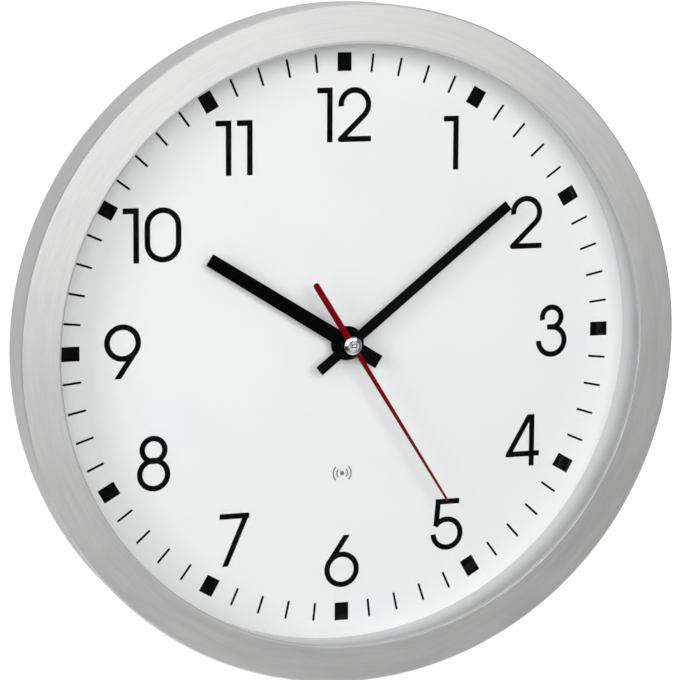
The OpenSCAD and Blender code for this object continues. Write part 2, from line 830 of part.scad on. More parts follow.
module battery_cell() {
  nub_h = 1.5;
  nub_r = 2.75;
  color("#2f4f7f") hung() translate([-cell_len / 2, cell_y, cell_z]) rotate([0, 90, 0])
    rotate_extrude() polygon([
      [0, 0], [cell_d / 2 - 0.6, 0], [cell_d / 2, 0.6],
      [cell_d / 2, cell_len - nub_h - 0.6], [cell_d / 2 - 0.6, cell_len - nub_h],
      [nub_r, cell_len - nub_h], [nub_r, cell_len], [0, cell_len]]);
}

// Buttons: each has a flange inside the back case
module button(i) {
  hung() button_places([i]) {
    translate([0, 0, z_movement - button_stand])
      cylinder(d = button_d, h = shell_t + button_stand + eps);
    translate([0, 0, z_back_in]) cylinder(d = button_d + 1.6, h = button_flange_t);
  }
}

module set_button() { color("dimgray") button(-1); }
module search_button() { color("dimgray") button(0); }
module reset_button() { color("dimgray") button(1); }

// A toothed disc. A tooth points along face_dir, or a gap where gap_first is
// set, so that two wheels drawn this way along their line of centres mesh.
module toothed(teeth, mod, thick, face_dir, gap_first = false, bore_r = 0) {
  is_pinion = teeth < 20;
  pitch_r = teeth * mod / 2;
  root_r = pitch_r - (is_pinion ? 1.35 : 1.25) * mod;
  tip_h = (is_pinion ? 0.7 : 0.8) * mod;
  half_w = (is_pinion ? 0.32 : 0.4) * 180 / teeth;
  side = [[root_r, 1], [pitch_r, 1], [pitch_r + 0.55 * tip_h, 0.78], [pitch_r + tip_h, 0.25]];
  rotate(face_dir + (gap_first ? 180 / teeth : 0)) linear_extrude(thick) difference() {
    polygon([for (i = [0 : teeth - 1]) for (j = [0 : 7])
      let (p = j < 4 ? side[j] : side[7 - j],
           a = 360 * i / teeth + (j < 4 ? -1 : 1) * p[1] * half_w)
        p[0] * [cos(a), sin(a)]]);
    if (bore_r > 0) circle(r = bore_r);
  }
}

// An arbor between its two pivots
module arbor(low, high, body_low, body_high) {
  translate([0, 0, low]) cylinder(d = pivot_d, h = high - low);
  translate([0, 0, body_low]) cylinder(d = pivot_d + 0.4, h = body_high - body_low);
}

// Seconds train
module second_arbor() {
  color("lightgray") hung() {
    translate([0, 0, z_pivot_low]) cylinder(d = pivot_d, h = z_board_top - z_pivot_low);
    translate([0, 0, z_board - 0.2])
      cylinder(r = second_arbor_r, h = z_dial + second_lift + 1 - z_board + 0.2);
  }
}

module second_wheel() {
  color("ivory") hung() {
    translate([0, 0, z_second])
      toothed(centre_teeth, slow_module, gear_t, seconds_dirs[0], true,
              second_arbor_r + seat_gap);
    translate([0, 0, z_second - 0.2]) tube(1.3, second_arbor_r + seat_gap, gear_t + 0.4);
  }
}

module seconds_intermediate_wheel() {
  color("ivory") hung() at(seconds_mid_at) {
    translate([0, 0, z_first])
      toothed(fast_teeth, fast_module, gear_t, seconds_dirs[1]);
    translate([0, 0, z_first])
      toothed(pinion_teeth, slow_module, z_second + gear_t + 0.2 - z_first, seconds_dirs[0] + 180);
    arbor(z_pivot_low, z_gear_plate + gear_plate_t, z_board_top + 0.2, z_gear_plate - end_gap);
  }
}

module rotor(place, dir) {
  at(place) {
    translate([0, 0, z_first - 0.2])
      toothed(pinion_teeth, fast_module, gear_t + 0.4, dir + 180, true);
    arbor(z_pivot_low, z_gear_plate + gear_plate_t, z_board_top + 0.2, z_gear_plate - end_gap);
  }
}

module rotor_magnet(place) {
  color("#55565a") hung() at(place, z_magnet)
    tube(magnet_d / 2, pivot_d / 2 + 0.2 + seat_gap, magnet_h);
}

module seconds_rotor() { color("ivory") hung() rotor(seconds_rotor_at, seconds_dirs[1]); }
module seconds_magnet() { rotor_magnet(seconds_rotor_at); }

module socket_profile() {
  z = z_dial + second_lift;
  bore = second_arbor_r + seat_gap;
  dome_r = socket_dome_d / 2;
  polygon(concat(
    [[bore, z - 2.2], [dome_r - 0.6, z - 2.2], [dome_r - 0.6, z],
     [dome_r - 0.6, z + second_t + seat_gap], [socket_d / 2, z + second_t + seat_gap],
     [socket_d / 2, z + second_t + 0.5]],
    arc([0, z + second_t + 0.5], dome_r, 0, 84, 8),
    [[0, z + second_t + 0.5 + dome_r * 0.99], [0, z + 1 + seat_gap], [bore, z + 1 + seat_gap]]));
}

module second_hand_socket() {
  color("gainsboro") hung() rotate_extrude() socket_profile();
}

module second_hand() {
  color("darkred") hung() translate([0, 0, z_dial + second_lift]) rotate(-second_angle)
    linear_extrude(second_t) difference() {
      union() {
        polygon(concat(
          arc([0, second_tail_w / 2 - second_tail], second_tail_w / 2, 180, 360, 12),
          [[second_tail_w / 2, 0], [second_root_w / 2, 0], [second_tip_w / 2, second_len],
           [-second_tip_w / 2, second_len], [-second_root_w / 2, 0], [-second_tail_w / 2, 0]]));
        circle(r = socket_dome_d / 2 + 0.6, $fn = 48);
      }
      circle(r = socket_dome_d / 2 - 0.6 + seat_gap, $fn = 48);
    }
}

// Minutes train
module minute_wheel() {
  bore = second_arbor_r + running_gap;
  foot = z_gear_plate + gear_plate_t + end_gap;
  color("ivory") hung() {
    translate([0, 0, z_minute])
      toothed(centre_teeth, slow_module, gear_t, minutes_dirs[0], false, bore);
    translate([0, 0, z_minute])
      toothed(cannon_teeth, fast_module, z_motion + gear_t + 0.2 - z_minute, motion_dir, false, bore);
    translate([0, 0, foot]) tube(minute_tube_r, bore, z_dial + minute_lift + hand_t + 0.4 - foot);
  }
}

module minutes_third_wheel() {
  color("ivory") hung() at(minutes_third_at) {
    translate([0, 0, z_third])
      toothed(fast_teeth, fast_module, gear_t, minutes_dirs[1], false);
    translate([0, 0, z_third])
      toothed(pinion_teeth, slow_module, z_minute + gear_t + 0.2 - z_third, minutes_dirs[0] + 180, true);
    arbor(z_pivot_low, z_front_in + pivot_depth, z_board_top + 0.2, z_front_in - end_gap);
  }
}

module minutes_intermediate_wheel() {
  color("ivory") hung() at(minutes_mid_at) {
    translate([0, 0, z_first])
      toothed(fast_teeth, fast_module, gear_t, minutes_dirs[2]);
    translate([0, 0, z_first])
      toothed(pinion_teeth, fast_module, z_third + gear_t + 0.2 - z_first, minutes_dirs[1] + 180, true);
    arbor(z_pivot_low, z_gear_plate + gear_plate_t, z_board_top + 0.2, z_gear_plate - end_gap);
  }
}

module minutes_rotor() { color("ivory") hung() rotor(minutes_rotor_at, minutes_dirs[2]); }
module minutes_magnet() { rotor_magnet(minutes_rotor_at); }

// A flat hand drawn along +Y, with a hub and a collar under it
module flat_hand(angle, len, tail, tip_w, root_w, hub_d, bore_r, z, collar_h) {
  translate([0, 0, z]) rotate(-angle) {
    linear_extrude(hand_t) difference() {
      union() {
        polygon([[-tip_w / 2, len], [tip_w / 2, len], [root_w / 2, 0],
                 [root_w / 2 - 0.1, -tail], [0.1 - root_w / 2, -tail], [-root_w / 2, 0]]);
        circle(d = hub_d);
      }
      circle(r = bore_r);
    }
    translate([0, 0, -collar_h]) tube(bore_r + 0.5, bore_r, collar_h + hand_t / 2);
  }
}

module minute_hand() {
  color("#111111") hung()
    flat_hand(minute_angle, minute_len, minute_tail, minute_w, minute_w,
              minute_w + 3, minute_tube_r + seat_gap, z_dial + minute_lift, 1.4);
}

module hour_hand() {
  color("#111111") hung()
    flat_hand(hour_angle, hour_len, hour_tail, hour_tip_w, hour_root_w,
              hour_hub_d, hour_tube_r + seat_gap, z_dial + hour_lift, 1.6);
}

// Motion work: the cannon's 12 leaves drive 36, and 10 leaves drive 40
module motion_wheel() {
  bore = post_r + running_gap;
  color("ivory") hung() at(motion_at) {
    translate([0, 0, z_motion])
      toothed(motion_teeth, fast_module, gear_t, motion_dir + 180, true, bore);
    translate([0, 0, motion_hub_low]) tube(1.1, bore, z_motion + gear_t - motion_hub_low);
    translate([0, 0, z_motion])
      toothed(motion_pinion_teeth, hour_module, z_hour + gear_t + 0.2 - z_motion,
              motion_dir + 180, false, bore);
    translate([0, 0, z_motion]) tube(bore + 0.06, bore, z_front_in - end_gap - z_motion);
  }
}

module hour_wheel() {
  bore = minute_tube_r + running_gap;
  color("ivory") hung() {
    translate([0, 0, z_hour])
      toothed(hour_teeth, hour_module, gear_t, motion_dir, true, bore);
    translate([0, 0, z_hour]) tube(hour_tube_r + 0.8, bore, z_front_in - end_gap - z_hour);
    translate([0, 0, z_hour]) tube(hour_tube_r, bore, z_dial + hour_lift + hand_t + 0.4 - z_hour);
  }
}

case_ring();
front_glass();
glass_gasket();
spacer_ring();
dial_plate();
dial_numerals();
hour_blocks();
minute_strokes();
reception_mark();
case_back();
case_screws();
rubber_washer();
brass_washer();
fixing_nut();
movement_front_case();
movement_back_case();
gear_plate();
circuit_board();
receiver_chip();
quartz_crystal();
light_barrier();
seconds_stator();
seconds_coil();
minutes_stator();
minutes_coil();
ferrite_rod();
antenna_coil();
positive_contact();
negative_contact();
battery_cell();
set_button();
search_button();
reset_button();
second_hand();
second_hand_socket();
second_arbor();
second_wheel();
seconds_intermediate_wheel();
seconds_rotor();
seconds_magnet();
minute_hand();
minute_wheel();
minutes_third_wheel();
minutes_intermediate_wheel();
minutes_rotor();
minutes_magnet();
motion_wheel();
hour_hand();
hour_wheel();
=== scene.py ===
# %% [markdown]
# # A radio-controlled wall clock, dressed
# The clock is already built to size: every wheel, shell and hand is a solid in
# the frame that the next cell loads. This file gives it its looks. What shows
# is modelled again with finer curves and softened edges, what is hidden keeps
# its plain solid, and everything gets a material named for the real one.
#
# The clock hangs against a wall at Y = 0 and faces -Y, with Z up. The origin is
# the hanging hole, so the centre of the dial is 105 mm below it.

# %% Load the frame
import json
from math import atan2, cos, pi, radians, sin, tan

import bmesh
import bpy
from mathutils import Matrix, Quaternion, Vector

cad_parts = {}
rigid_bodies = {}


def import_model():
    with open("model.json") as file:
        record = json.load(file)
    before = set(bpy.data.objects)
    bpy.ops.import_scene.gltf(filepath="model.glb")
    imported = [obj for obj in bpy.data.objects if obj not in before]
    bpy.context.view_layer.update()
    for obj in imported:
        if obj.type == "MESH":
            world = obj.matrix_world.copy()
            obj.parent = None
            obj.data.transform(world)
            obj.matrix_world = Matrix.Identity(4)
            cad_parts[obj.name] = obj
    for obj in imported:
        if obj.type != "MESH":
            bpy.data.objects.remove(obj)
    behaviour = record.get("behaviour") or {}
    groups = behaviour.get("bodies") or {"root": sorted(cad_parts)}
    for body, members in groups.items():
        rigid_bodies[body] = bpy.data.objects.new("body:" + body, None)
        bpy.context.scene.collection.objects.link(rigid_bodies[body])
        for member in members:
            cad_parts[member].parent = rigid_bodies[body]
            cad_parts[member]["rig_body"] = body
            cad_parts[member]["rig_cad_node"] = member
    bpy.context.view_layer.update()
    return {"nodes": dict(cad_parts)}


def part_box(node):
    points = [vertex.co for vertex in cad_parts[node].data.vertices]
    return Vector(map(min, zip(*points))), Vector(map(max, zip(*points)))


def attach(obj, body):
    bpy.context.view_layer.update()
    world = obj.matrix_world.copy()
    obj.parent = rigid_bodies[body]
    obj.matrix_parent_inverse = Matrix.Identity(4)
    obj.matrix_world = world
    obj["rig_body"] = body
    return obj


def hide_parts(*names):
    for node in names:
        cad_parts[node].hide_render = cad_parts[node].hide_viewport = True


for thing in list(bpy.data.objects):
    bpy.data.objects.remove(thing)

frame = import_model()
NODES = frame["nodes"]

# %% [markdown]
# ## Working in millimetres
# Blender counts in metres and a clockmaker in millimetres, so sizes below are
# in millimetres and are multiplied by `MM` where they meet Blender. Heights are
# measured from the wall towards the viewer, as on the drawing of a clock.

# %% The dial's centre, and the heights of its layers
MM = 0.001
dial_low, dial_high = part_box("dial_plate")
CENTRE = Vector((0, 0, (dial_low.z + dial_high.z) / 2))
OUT = Vector((0, -1, 0))


def heights(node):
    """The lowest and highest height of a node above the wall, in millimetres."""
    low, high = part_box(node)
    return -high.y / MM, -low.y / MM


def reach(node):
    """How far a node reaches to the right of the dial's centre, in millimetres."""
    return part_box(node)[1].x / MM


DIAL_H = heights("dial_plate")[1]
GLASS_LOW_H, GLASS_HIGH_H = heights("front_glass")
print("dial at", round(DIAL_H, 2), "mm, glass from", round(GLASS_LOW_H, 2), "to",
      round(GLASS_HIGH_H, 2), "mm above the wall")

# %% [markdown]
# ## The camera
# The photograph was taken from the left and a little above, through a long
# lens. The camera's place was found by fitting the dial's marks, which lie on
# a circle of known size, to where the photograph shows them.

# %% Camera
CAMERA_PLACE = Vector((-0.3738, -1.1261, 0.0871))
CAMERA_LOOK = Vector((0.3149, 0.9352, -0.1620))
CAMERA_ROLL = radians(-0.32)
SENSOR_WIDTH = 36
PHOTO_WIDTH = 680
FOCAL_LENGTH_IN_PIXELS = 2662.75

bpy.ops.object.camera_add(location=CAMERA_PLACE)
camera = bpy.context.object
camera.name = "camera"
camera.rotation_mode = "QUATERNION"
level = CAMERA_LOOK.to_track_quat("-Z", "Y")
camera.rotation_quaternion = Quaternion(CAMERA_LOOK, CAMERA_ROLL) @ level
camera.data.sensor_width = SENSOR_WIDTH
camera.data.lens = FOCAL_LENGTH_IN_PIXELS / PHOTO_WIDTH * SENSOR_WIDTH
camera.data.dof.use_dof = False
bpy.context.scene.camera = camera
print("lens", round(camera.data.lens, 1), "mm")

# %% [markdown]
# ## Colours and nodes
# A colour picker shows sRGB values, but shaders add up light, which needs
# linear ones. One function turns a hex code into linear numbers, and one
# function adds a node: it sets the node's options, then each socket to a value
# or links it to another node's output.

# %% Helpers for materials
view_settings = bpy.context.scene.view_settings
view_settings.view_transform = "Standard"
view_settings.look = "None"


def colour(code):
    """A hex colour such as #B0B2B4 as linear red, green, blue and alpha."""
    channels = [int(code[i:i + 2], 16) / 255 for i in (1, 3, 5)]
    linear = [c / 12.92 if c <= 0.04045 else ((c + 0.055) / 1.055) ** 2.4 for c in channels]
    return (*linear, 1)


def add_node(tree, kind, sockets=None, **options):
    """Adds a node, sets its options, and sets or links each of its sockets."""
    node = tree.nodes.new("ShaderNode" + kind)
    for option, value in options.items():
        setattr(node, option, value)
    for socket, value in (sockets or {}).items():
        if isinstance(value, bpy.types.NodeSocket):
            tree.links.new(value, node.inputs[socket])
        else:
            node.inputs[socket].default_value = value
    return node


def new_material(name):
    """An empty node material, its tree, and the places of the points it covers."""
    material = bpy.data.materials.new(name)
    material.use_nodes = True
    tree = material.node_tree
    tree.nodes.clear()
    return material, tree, add_node(tree, "TexCoord").outputs["Object"]


def surface(tree, sockets):
    """Shows a Principled shader with these sockets on the surface."""
    shader = add_node(tree, "BsdfPrincipled", sockets)
    add_node(tree, "OutputMaterial", {"Surface": shader.outputs["BSDF"]})


def noise(tree, vector, size_mm, detail=2, rough=0.5):
    """Noise whose grains are about size_mm across, on coordinates in metres."""
    return add_node(tree, "TexNoise", {"Vector": vector, "Scale": 1 / (size_mm * MM),
                                       "Detail": detail, "Roughness": rough}).outputs["Fac"]


def ramp(tree, value, edges, low=0, high=1, soft=False):
    """Goes from low to high as a value goes from one edge to the other."""
    return add_node(tree, "MapRange", {
        "Value": value, "From Min": edges[0], "From Max": edges[1], "To Min": low,
        "To Max": high}, interpolation_type="SMOOTHSTEP" if soft else "LINEAR"
    ).outputs["Result"]


def spread(tree, value, low, high):
    """Maps noise, which stays mostly between 0.3 and 0.7, to low and high."""
    return ramp(tree, value, (0.3, 0.7), low, high)


def reckon(tree, operation, first, second):
    """Adds, subtracts or multiplies two values."""
    return add_node(tree, "Math", {0: first, 1: second}, operation=operation).outputs[0]


def relief(tree, height, depth_mm):
    """The surface's direction over bumps of this depth."""
    return add_node(tree, "Bump", {"Height": height, "Distance": depth_mm * MM,
                                   "Strength": 1}).outputs["Normal"]


def shades(tree, factor, first, second):
    """Blends two hex colours by a factor."""
    return add_node(tree, "MixRGB", {"Fac": factor, "Color1": colour(first),
                                     "Color2": colour(second)}).outputs["Color"]


# %% [markdown]
# ## Moulded plastics
# The back, the movement, the wheels and the buttons are injection moulded.
# Spark-eroded steel moulds leave a fine grain of half a millimetre to one, which
# shows as a slightly uneven sheen. One recipe makes them all: a base colour that
# wanders a little, a roughness that follows the grain, and a shallow bump.
# Plastics reflect about 4 percent, an IOR of 1.5. Rubber, epoxy and ferrite
# are pressed in moulds too, so they share the recipe.


# %% Plastics
def moulded(name, base, patch, rough, grain_mm, relief_mm):
    """A moulded plastic with a patchy colour and a spark-eroded grain."""
    material, tree, place = new_material(name)
    patch_mm = 18
    cloud = noise(tree, place, patch_mm)
    grain = noise(tree, place, grain_mm, detail=3)
    surface(tree, {"Base Color": shades(tree, spread(tree, cloud, 0, 1), base, patch),
                   "Roughness": spread(tree, grain, rough - 0.05, rough + 0.05),
                   "IOR": 1.5, "Normal": relief(tree, grain, relief_mm)})
    return material


black_abs = moulded("black_ABS_fine_grain", "#1F2022", "#252628", 0.52, 0.9, 0.05)
movement_abs = moulded("charcoal_ABS_satin", "#2A2B2D", "#303133", 0.42, 0.6, 0.02)
white_hips = moulded("white_polystyrene_satin", "#DCDDDD", "#E2E2E1", 0.5, 0.8, 0.01)
acetal = moulded("natural_acetal", "#E6E1D2", "#EDE9DD", 0.38, 0.5, 0.01)
button_abs = moulded("grey_ABS_gloss", "#55585C", "#5C5F63", 0.3, 0.5, 0.01)
rubber = moulded("black_nitrile_rubber", "#17181A", "#1C1D1F", 0.75, 0.7, 0.04)
epoxy = moulded("black_moulded_epoxy", "#161719", "#1B1C1E", 0.6, 0.3, 0.01)
ferrite = moulded("sintered_ferrite", "#2D2E31", "#35363A", 0.55, 0.4, 0.02)

# %% [markdown]
# The wall round the dial is a white gloss moulding. Its colour carries painted
# shade: it is white low down by the dial and grey higher up under the ring's
# edge, where the ring shades it. A soft step between two heights over the dial
# goes from one to the other.


# %% White wall with painted shade
def wall_with_painted_shade(foot_mm, lip_mm):
    """Gloss white polystyrene with painted shade, white to grey between two heights."""
    material, tree, place = new_material("white_polystyrene_gloss_painted_shade")
    depth = add_node(tree, "SeparateXYZ", {0: place}).outputs["Y"]
    # painted shade: 0 by the dial, 1 under the ring's edge
    painted_shade_rise = ramp(tree, depth, (-foot_mm * MM, -lip_mm * MM), soft=True)
    grain = noise(tree, place, 0.8, detail=3)
    # white low down, grey painted shade high up under the ring
    surface(tree, {"Base Color": shades(tree, painted_shade_rise, "#D4D5D5", "#A0A1A2"),
                   "Roughness": spread(tree, grain, 0.2, 0.28), "IOR": 1.5})
    return material


# heights over the dial where the painted shade starts and where it is full
UNSHADED_UP_TO, FULL_SHADE_FROM = 3, 17
painted_shade_hips = wall_with_painted_shade(DIAL_H + UNSHADED_UP_TO, DIAL_H + FULL_SHADE_FROM)

# %% [markdown]
# ## Paint and print
# The dial is a sheet with a matt white coat. The numerals, blocks and strokes
# are screen printed on it in gloss ink, and the reception mark in matt grey. The
# hands are stamped from sheet aluminium and dipped in gloss lacquer. All of them
# dry with a very faint orange peel. The gloss ones get a roughness of 0, which
# makes them true mirrors: the studio below can only filter those.


# %% Coats
def coat(name, base, patch, rough, peel_mm, relief_mm, gloss_coat=0.0):
    """A lacquer, paint or ink with a faint orange peel."""
    material, tree, place = new_material(name)
    patch_mm = 30
    uneven = 0.03
    cloud = noise(tree, place, patch_mm)
    peel = noise(tree, place, peel_mm, detail=1)
    surface(tree, {"Base Color": shades(tree, spread(tree, cloud, 0, 1), base, patch),
                   "Roughness": rough and spread(tree, peel, rough - uneven, rough + uneven),
                   "IOR": 1.5, "Normal": relief(tree, peel, relief_mm),
                   "Coat Weight": gloss_coat, "Coat Roughness": 0.12})
    return material


dial_white = coat("matt_white_dial_lacquer", "#F4F4F4", "#F6F6F5", 0.62, 1.2, 0.004)
black_ink = coat("black_gloss_screen_print", "#030303", "#050505", 0, 2.5, 0.0005)
grey_ink = coat("grey_screen_print", "#6E7072", "#747678", 0.6, 0.5, 0.003)
black_lacquer = coat("black_gloss_lacquer", "#030304", "#050505", 0, 4.0, 0.0005)
red_lacquer = coat("dark_red_gloss_lacquer", "#74000C", "#7C020F", 0, 2.0, 0.0005)
sleeve_film = coat("pvc_shrink_film", "#3A5A78", "#3F6080", 0.25, 2.5, 0.02, 0.3)

# %% [markdown]
# ## Metals
# A metal takes its colour in the reflection, so its base colour is bright and
# its metallic value is 1. What sets one metal apart from another here is the
# tint, how rough it is, and which way the polishing or turning marks run.


# %% Plain metals
def metal(name, base, patch, rough, mark_mm):
    """A metal with faint random marks from tumbling or plating."""
    material, tree, place = new_material(name)
    patch_mm = 6
    uneven = 0.06
    cloud = noise(tree, place, patch_mm)
    marks = noise(tree, place, mark_mm, detail=4, rough=0.6)
    surface(tree, {"Base Color": shades(tree, spread(tree, cloud, 0, 1), base, patch),
                   "Metallic": 1,
                   "Roughness": spread(tree, marks, max(rough - uneven, 0.02),
                                       rough + uneven)})
    return material


chrome = metal("polished_chrome", "#E4E6E8", "#EAECEE", 0.08, 2.0)
zinc_steel = metal("zinc_plated_steel", "#B4B7BC", "#C2C4C8", 0.3, 0.8)
bright_steel = metal("nickel_plated_spring_steel", "#C6C4BE", "#D2D0CA", 0.24, 1.0)
turned_brass = metal("turned_brass", "#C9A45A", "#D4B168", 0.3, 0.6)
print(len(bpy.data.materials), "materials so far")

# %% [markdown]
# ## Brushed aluminium
# The case ring is spun from sheet, brushed while it turns, and anodised clear.
# The brush leaves rings of fine scratches, so the pattern follows the distance
# from the dial's centre and runs long the other way. The scratches are about
# 0.1 mm apart, too fine for this picture, so they are drawn 0.8 mm apart, with
# broader marks of 2.6 mm among them. A highlight spreads across scratches and
# not along them, which is what the anisotropic value does; its direction is
# worked out from the place itself. The fold at the window is bent after the
# brushing, which leaves it duller, so its roughness rises inside 134 mm.


# %% Brushed aluminium
FINE_MM, BROAD_MM, PATCH_MM = 0.8, 2.6, 45
BRUSH_DEPTH_MM = 0.004
BRUSH_ROUGH = (0.42, 0.48)
FOLD_FROM, FOLD_TO = 133.2, 134.2
FOLD_ROUGH = 0.62


def brushed_aluminium():
    """Clear anodised aluminium with brush marks round the dial's centre."""
    material, tree, place = new_material("brushed_anodised_aluminium")
    centred = add_node(tree, "VectorMath", {0: place, 1: CENTRE}, operation="SUBTRACT")
    flat = add_node(tree, "VectorMath", {0: centred.outputs["Vector"], 1: (1, 0, 1)},
                    operation="MULTIPLY").outputs["Vector"]
    along = add_node(tree, "VectorMath", {0: flat}, operation="NORMALIZE").outputs["Vector"]
    radius = add_node(tree, "VectorMath", {0: flat}, operation="LENGTH").outputs["Value"]
    height = add_node(tree, "SeparateXYZ", {0: place}).outputs["Y"]
    across = reckon(tree, "SUBTRACT", radius, height)
    long_way = add_node(tree, "SeparateXYZ", {0: along}).outputs
    # Once round the ring is a circle of 12 mm radius in the noise, so marks run long.
    lane_r = 0.012
    rings = add_node(tree, "CombineXYZ", {
        "X": reckon(tree, "MULTIPLY", long_way["X"], lane_r), "Y": across,
        "Z": reckon(tree, "MULTIPLY", long_way["Z"], lane_r)}).outputs["Vector"]
    fine = noise(tree, rings, FINE_MM, detail=3, rough=0.7)
    broad = noise(tree, rings, BROAD_MM)
    cloud = noise(tree, place, PATCH_MM)
    half = reckon(tree, "MULTIPLY", reckon(tree, "ADD", fine, broad), 0.5)
    tint = shades(tree, spread(tree, cloud, 0.2, 0.8), "#D4D4D4", "#DBDBDA")
    streaked = add_node(tree, "VectorMath", {0: tint, "Scale": spread(tree, half, 0.87, 1.0)},
                        operation="SCALE").outputs["Vector"]
    surface(tree, {"Base Color": streaked, "Metallic": 1, "Anisotropic": 0.12,
                   "Roughness": ramp(tree, radius, (FOLD_FROM * MM, FOLD_TO * MM),
                                     FOLD_ROUGH, spread(tree, half, *BRUSH_ROUGH)),
                   "Tangent": along, "Normal": relief(tree, fine, BRUSH_DEPTH_MM)})
    return material


aluminium = brushed_aluminium()

# %% [markdown]
# ## Float glass
# The window is a flat pane of 2.2 mm mineral glass. Light goes almost straight
# through, and each face reflects about 4 percent, more at a slant. A see-through
# shader mixed with a mirror by Fresnel shows just that, and it lets the studio
# light reach the dial without the noise of bent light paths. Light that is not
# bent inside the pane meets its back faces at the outer angle, so there the
# IOR is turned over, which stops the mirror of total reflection. Like the gloss
# ink, the mirror has a roughness of 0, so that the studio's filter acts on it.


# %% Glass
def float_glass():
    """Clear glass: see-through, with a reflection that grows at a slant."""
    material, tree, place = new_material("clear_float_glass")
    melt_mm = 60
    melt = noise(tree, place, melt_mm)
    clear = add_node(tree, "BsdfTransparent", {
        "Color": shades(tree, melt, "#FDFEFE", "#FEFEFE")})
    mirror = add_node(tree, "BsdfGlossy", {"Color": colour("#FFFFFF"), "Roughness": 0})
    inside = add_node(tree, "NewGeometry").outputs["Backfacing"]
    glass_ior = 1.5
    ior = ramp(tree, inside, (0, 1), glass_ior, 1 / glass_ior)
    slant = add_node(tree, "Fresnel", {"IOR": ior})
    both = add_node(tree, "MixShader", {0: slant.outputs["Fac"], 1: clear.outputs["BSDF"],
                                        2: mirror.outputs["BSDF"]})
    add_node(tree, "OutputMaterial", {"Surface": both.outputs["Shader"]})
    return material


glass = float_glass()

# %% [markdown]
# ## Wound copper and the circuit board
# Nobody sees these without taking the clock apart, but they are there. The
# coils show the turns of their enamelled wire as rings along their length,
# drawn 1.6 mm apart because the wire itself is too fine to see. The board has
# its green solder mask over paler copper tracks.


# %% Windings and the board
def winding(name, axis):
    """Enamelled copper wire, wound in turns that follow one axis."""
    material, tree, place = new_material(name)
    radian_mm = 0.25
    band_radians = 20
    turns = add_node(tree, "TexWave", {"Vector": place, "Distortion": 0.4, "Detail": 1,
                                       "Scale": 1 / (radian_mm * MM) / band_radians},
                     bands_direction=axis).outputs["Fac"]
    surface(tree, {"Base Color": shades(tree, turns, "#7A3512", "#C56A35"), "Metallic": 1,
                   "Roughness": 0.32, "Normal": relief(tree, turns, 0.1)})
    return material


def board():
    """Green solder mask with the paler shapes of copper tracks under it."""
    material, tree, place = new_material("green_solder_mask")
    track_mm = 9
    tracks = add_node(tree, "TexBrick", {"Vector": place, "Scale": 1 / (track_mm * MM),
                                         "Mortar Size": 0.03, "Color1": colour("#0C5B33"),
                                         "Color2": colour("#0F6639"),
                                         "Mortar": colour("#2E8A55")})
    surface(tree, {"Base Color": tracks.outputs["Color"], "Roughness": 0.28, "IOR": 1.55})
    return material


antenna_wire = winding("enamelled_copper_antenna", "X")
coil_wire = winding("enamelled_copper_coils", "Z")
solder_mask = board()

# %% [markdown]
# ## Each solid gets its material
# A solid keeps its mesh as it came, and only its material slot changes.

# %% Materials of the solids
FINISHES = {
    aluminium: ["case_ring"],
    glass: ["front_glass"],
    white_hips: ["glass_gasket", "gear_plate"],
    painted_shade_hips: ["spacer_ring"],
    dial_white: ["dial_plate"],
    black_ink: ["dial_numerals", "hour_blocks", "minute_strokes"],
    grey_ink: ["reception_mark"],
    black_abs: ["case_back"],
    movement_abs: ["movement_front_case", "movement_back_case"],
    zinc_steel: ["case_screws", "quartz_crystal", "seconds_stator", "minutes_stator",
                 "second_arbor"],
    bright_steel: ["positive_contact", "negative_contact"],
    rubber: ["rubber_washer"],
    turned_brass: ["brass_washer", "fixing_nut"],
    solder_mask: ["circuit_board"],
    epoxy: ["receiver_chip", "light_barrier"],
    coil_wire: ["seconds_coil", "minutes_coil"],
    antenna_wire: ["antenna_coil"],
    ferrite: ["ferrite_rod", "seconds_magnet", "minutes_magnet"],
    sleeve_film: ["battery_cell"],
    button_abs: ["set_button", "search_button", "reset_button"],
    black_lacquer: ["hour_hand", "minute_hand"],
    red_lacquer: ["second_hand"],
    chrome: ["second_hand_socket"],
    acetal: ["second_wheel", "seconds_intermediate_wheel", "seconds_rotor", "minute_wheel",
             "minutes_third_wheel", "minutes_intermediate_wheel", "minutes_rotor",
             "motion_wheel", "hour_wheel"],
}
for material, names in FINISHES.items():
    for node_name in names:
        mesh = NODES[node_name].data
        mesh.materials.clear()
        mesh.materials.append(material)
finished = sum(len(names) for names in FINISHES.values())
print("materials on", finished, "of", len(NODES), "nodes")
assert finished == len(NODES)

# %% [markdown]
# ## Tools for modelling by hand
# Blender's operators act on what is selected, so each helper first clears the
# selection. `lathe` is how most of this clock is made: one point is extruded
# along half of the cross-section and the line is spun round the axis. `smooth`
# shades curves smoothly and weights the normals by area, so that a wide flat
# face stays flat right up to its softened edges.


# %% Modelling helpers
def fresh():
    """Leaves edit mode and clears the selection."""
    if bpy.context.mode != "OBJECT":
        bpy.ops.object.mode_set(mode="OBJECT")
    bpy.ops.object.select_all(action="DESELECT")


def pick(*pieces):
    """Selects these pieces, the first one active."""
    fresh()
    for piece in pieces:
        piece.select_set(True)
    bpy.context.view_layer.objects.active = pieces[0]


def edit(piece):
    """Enters edit mode with the whole of a piece selected."""
    pick(piece)
    bpy.ops.object.mode_set(mode="EDIT")
    bpy.ops.mesh.select_all(action="SELECT")


def apply_modifier(piece, kind, **settings):
    """Adds a modifier, sets it and applies it."""
    pick(piece)
    modifier = piece.modifiers.new(kind.lower(), kind)
    for setting, value in settings.items():
        setattr(modifier, setting, value)
    bpy.ops.object.modifier_apply(modifier=modifier.name)


def smooth(piece, angle):
    """Smooth shading, with edges sharper than angle kept and wide faces kept flat."""
    pick(piece)
    bpy.ops.object.shade_smooth_by_angle(angle=radians(angle))
    apply_modifier(piece, "WEIGHTED_NORMAL", keep_sharp=True)


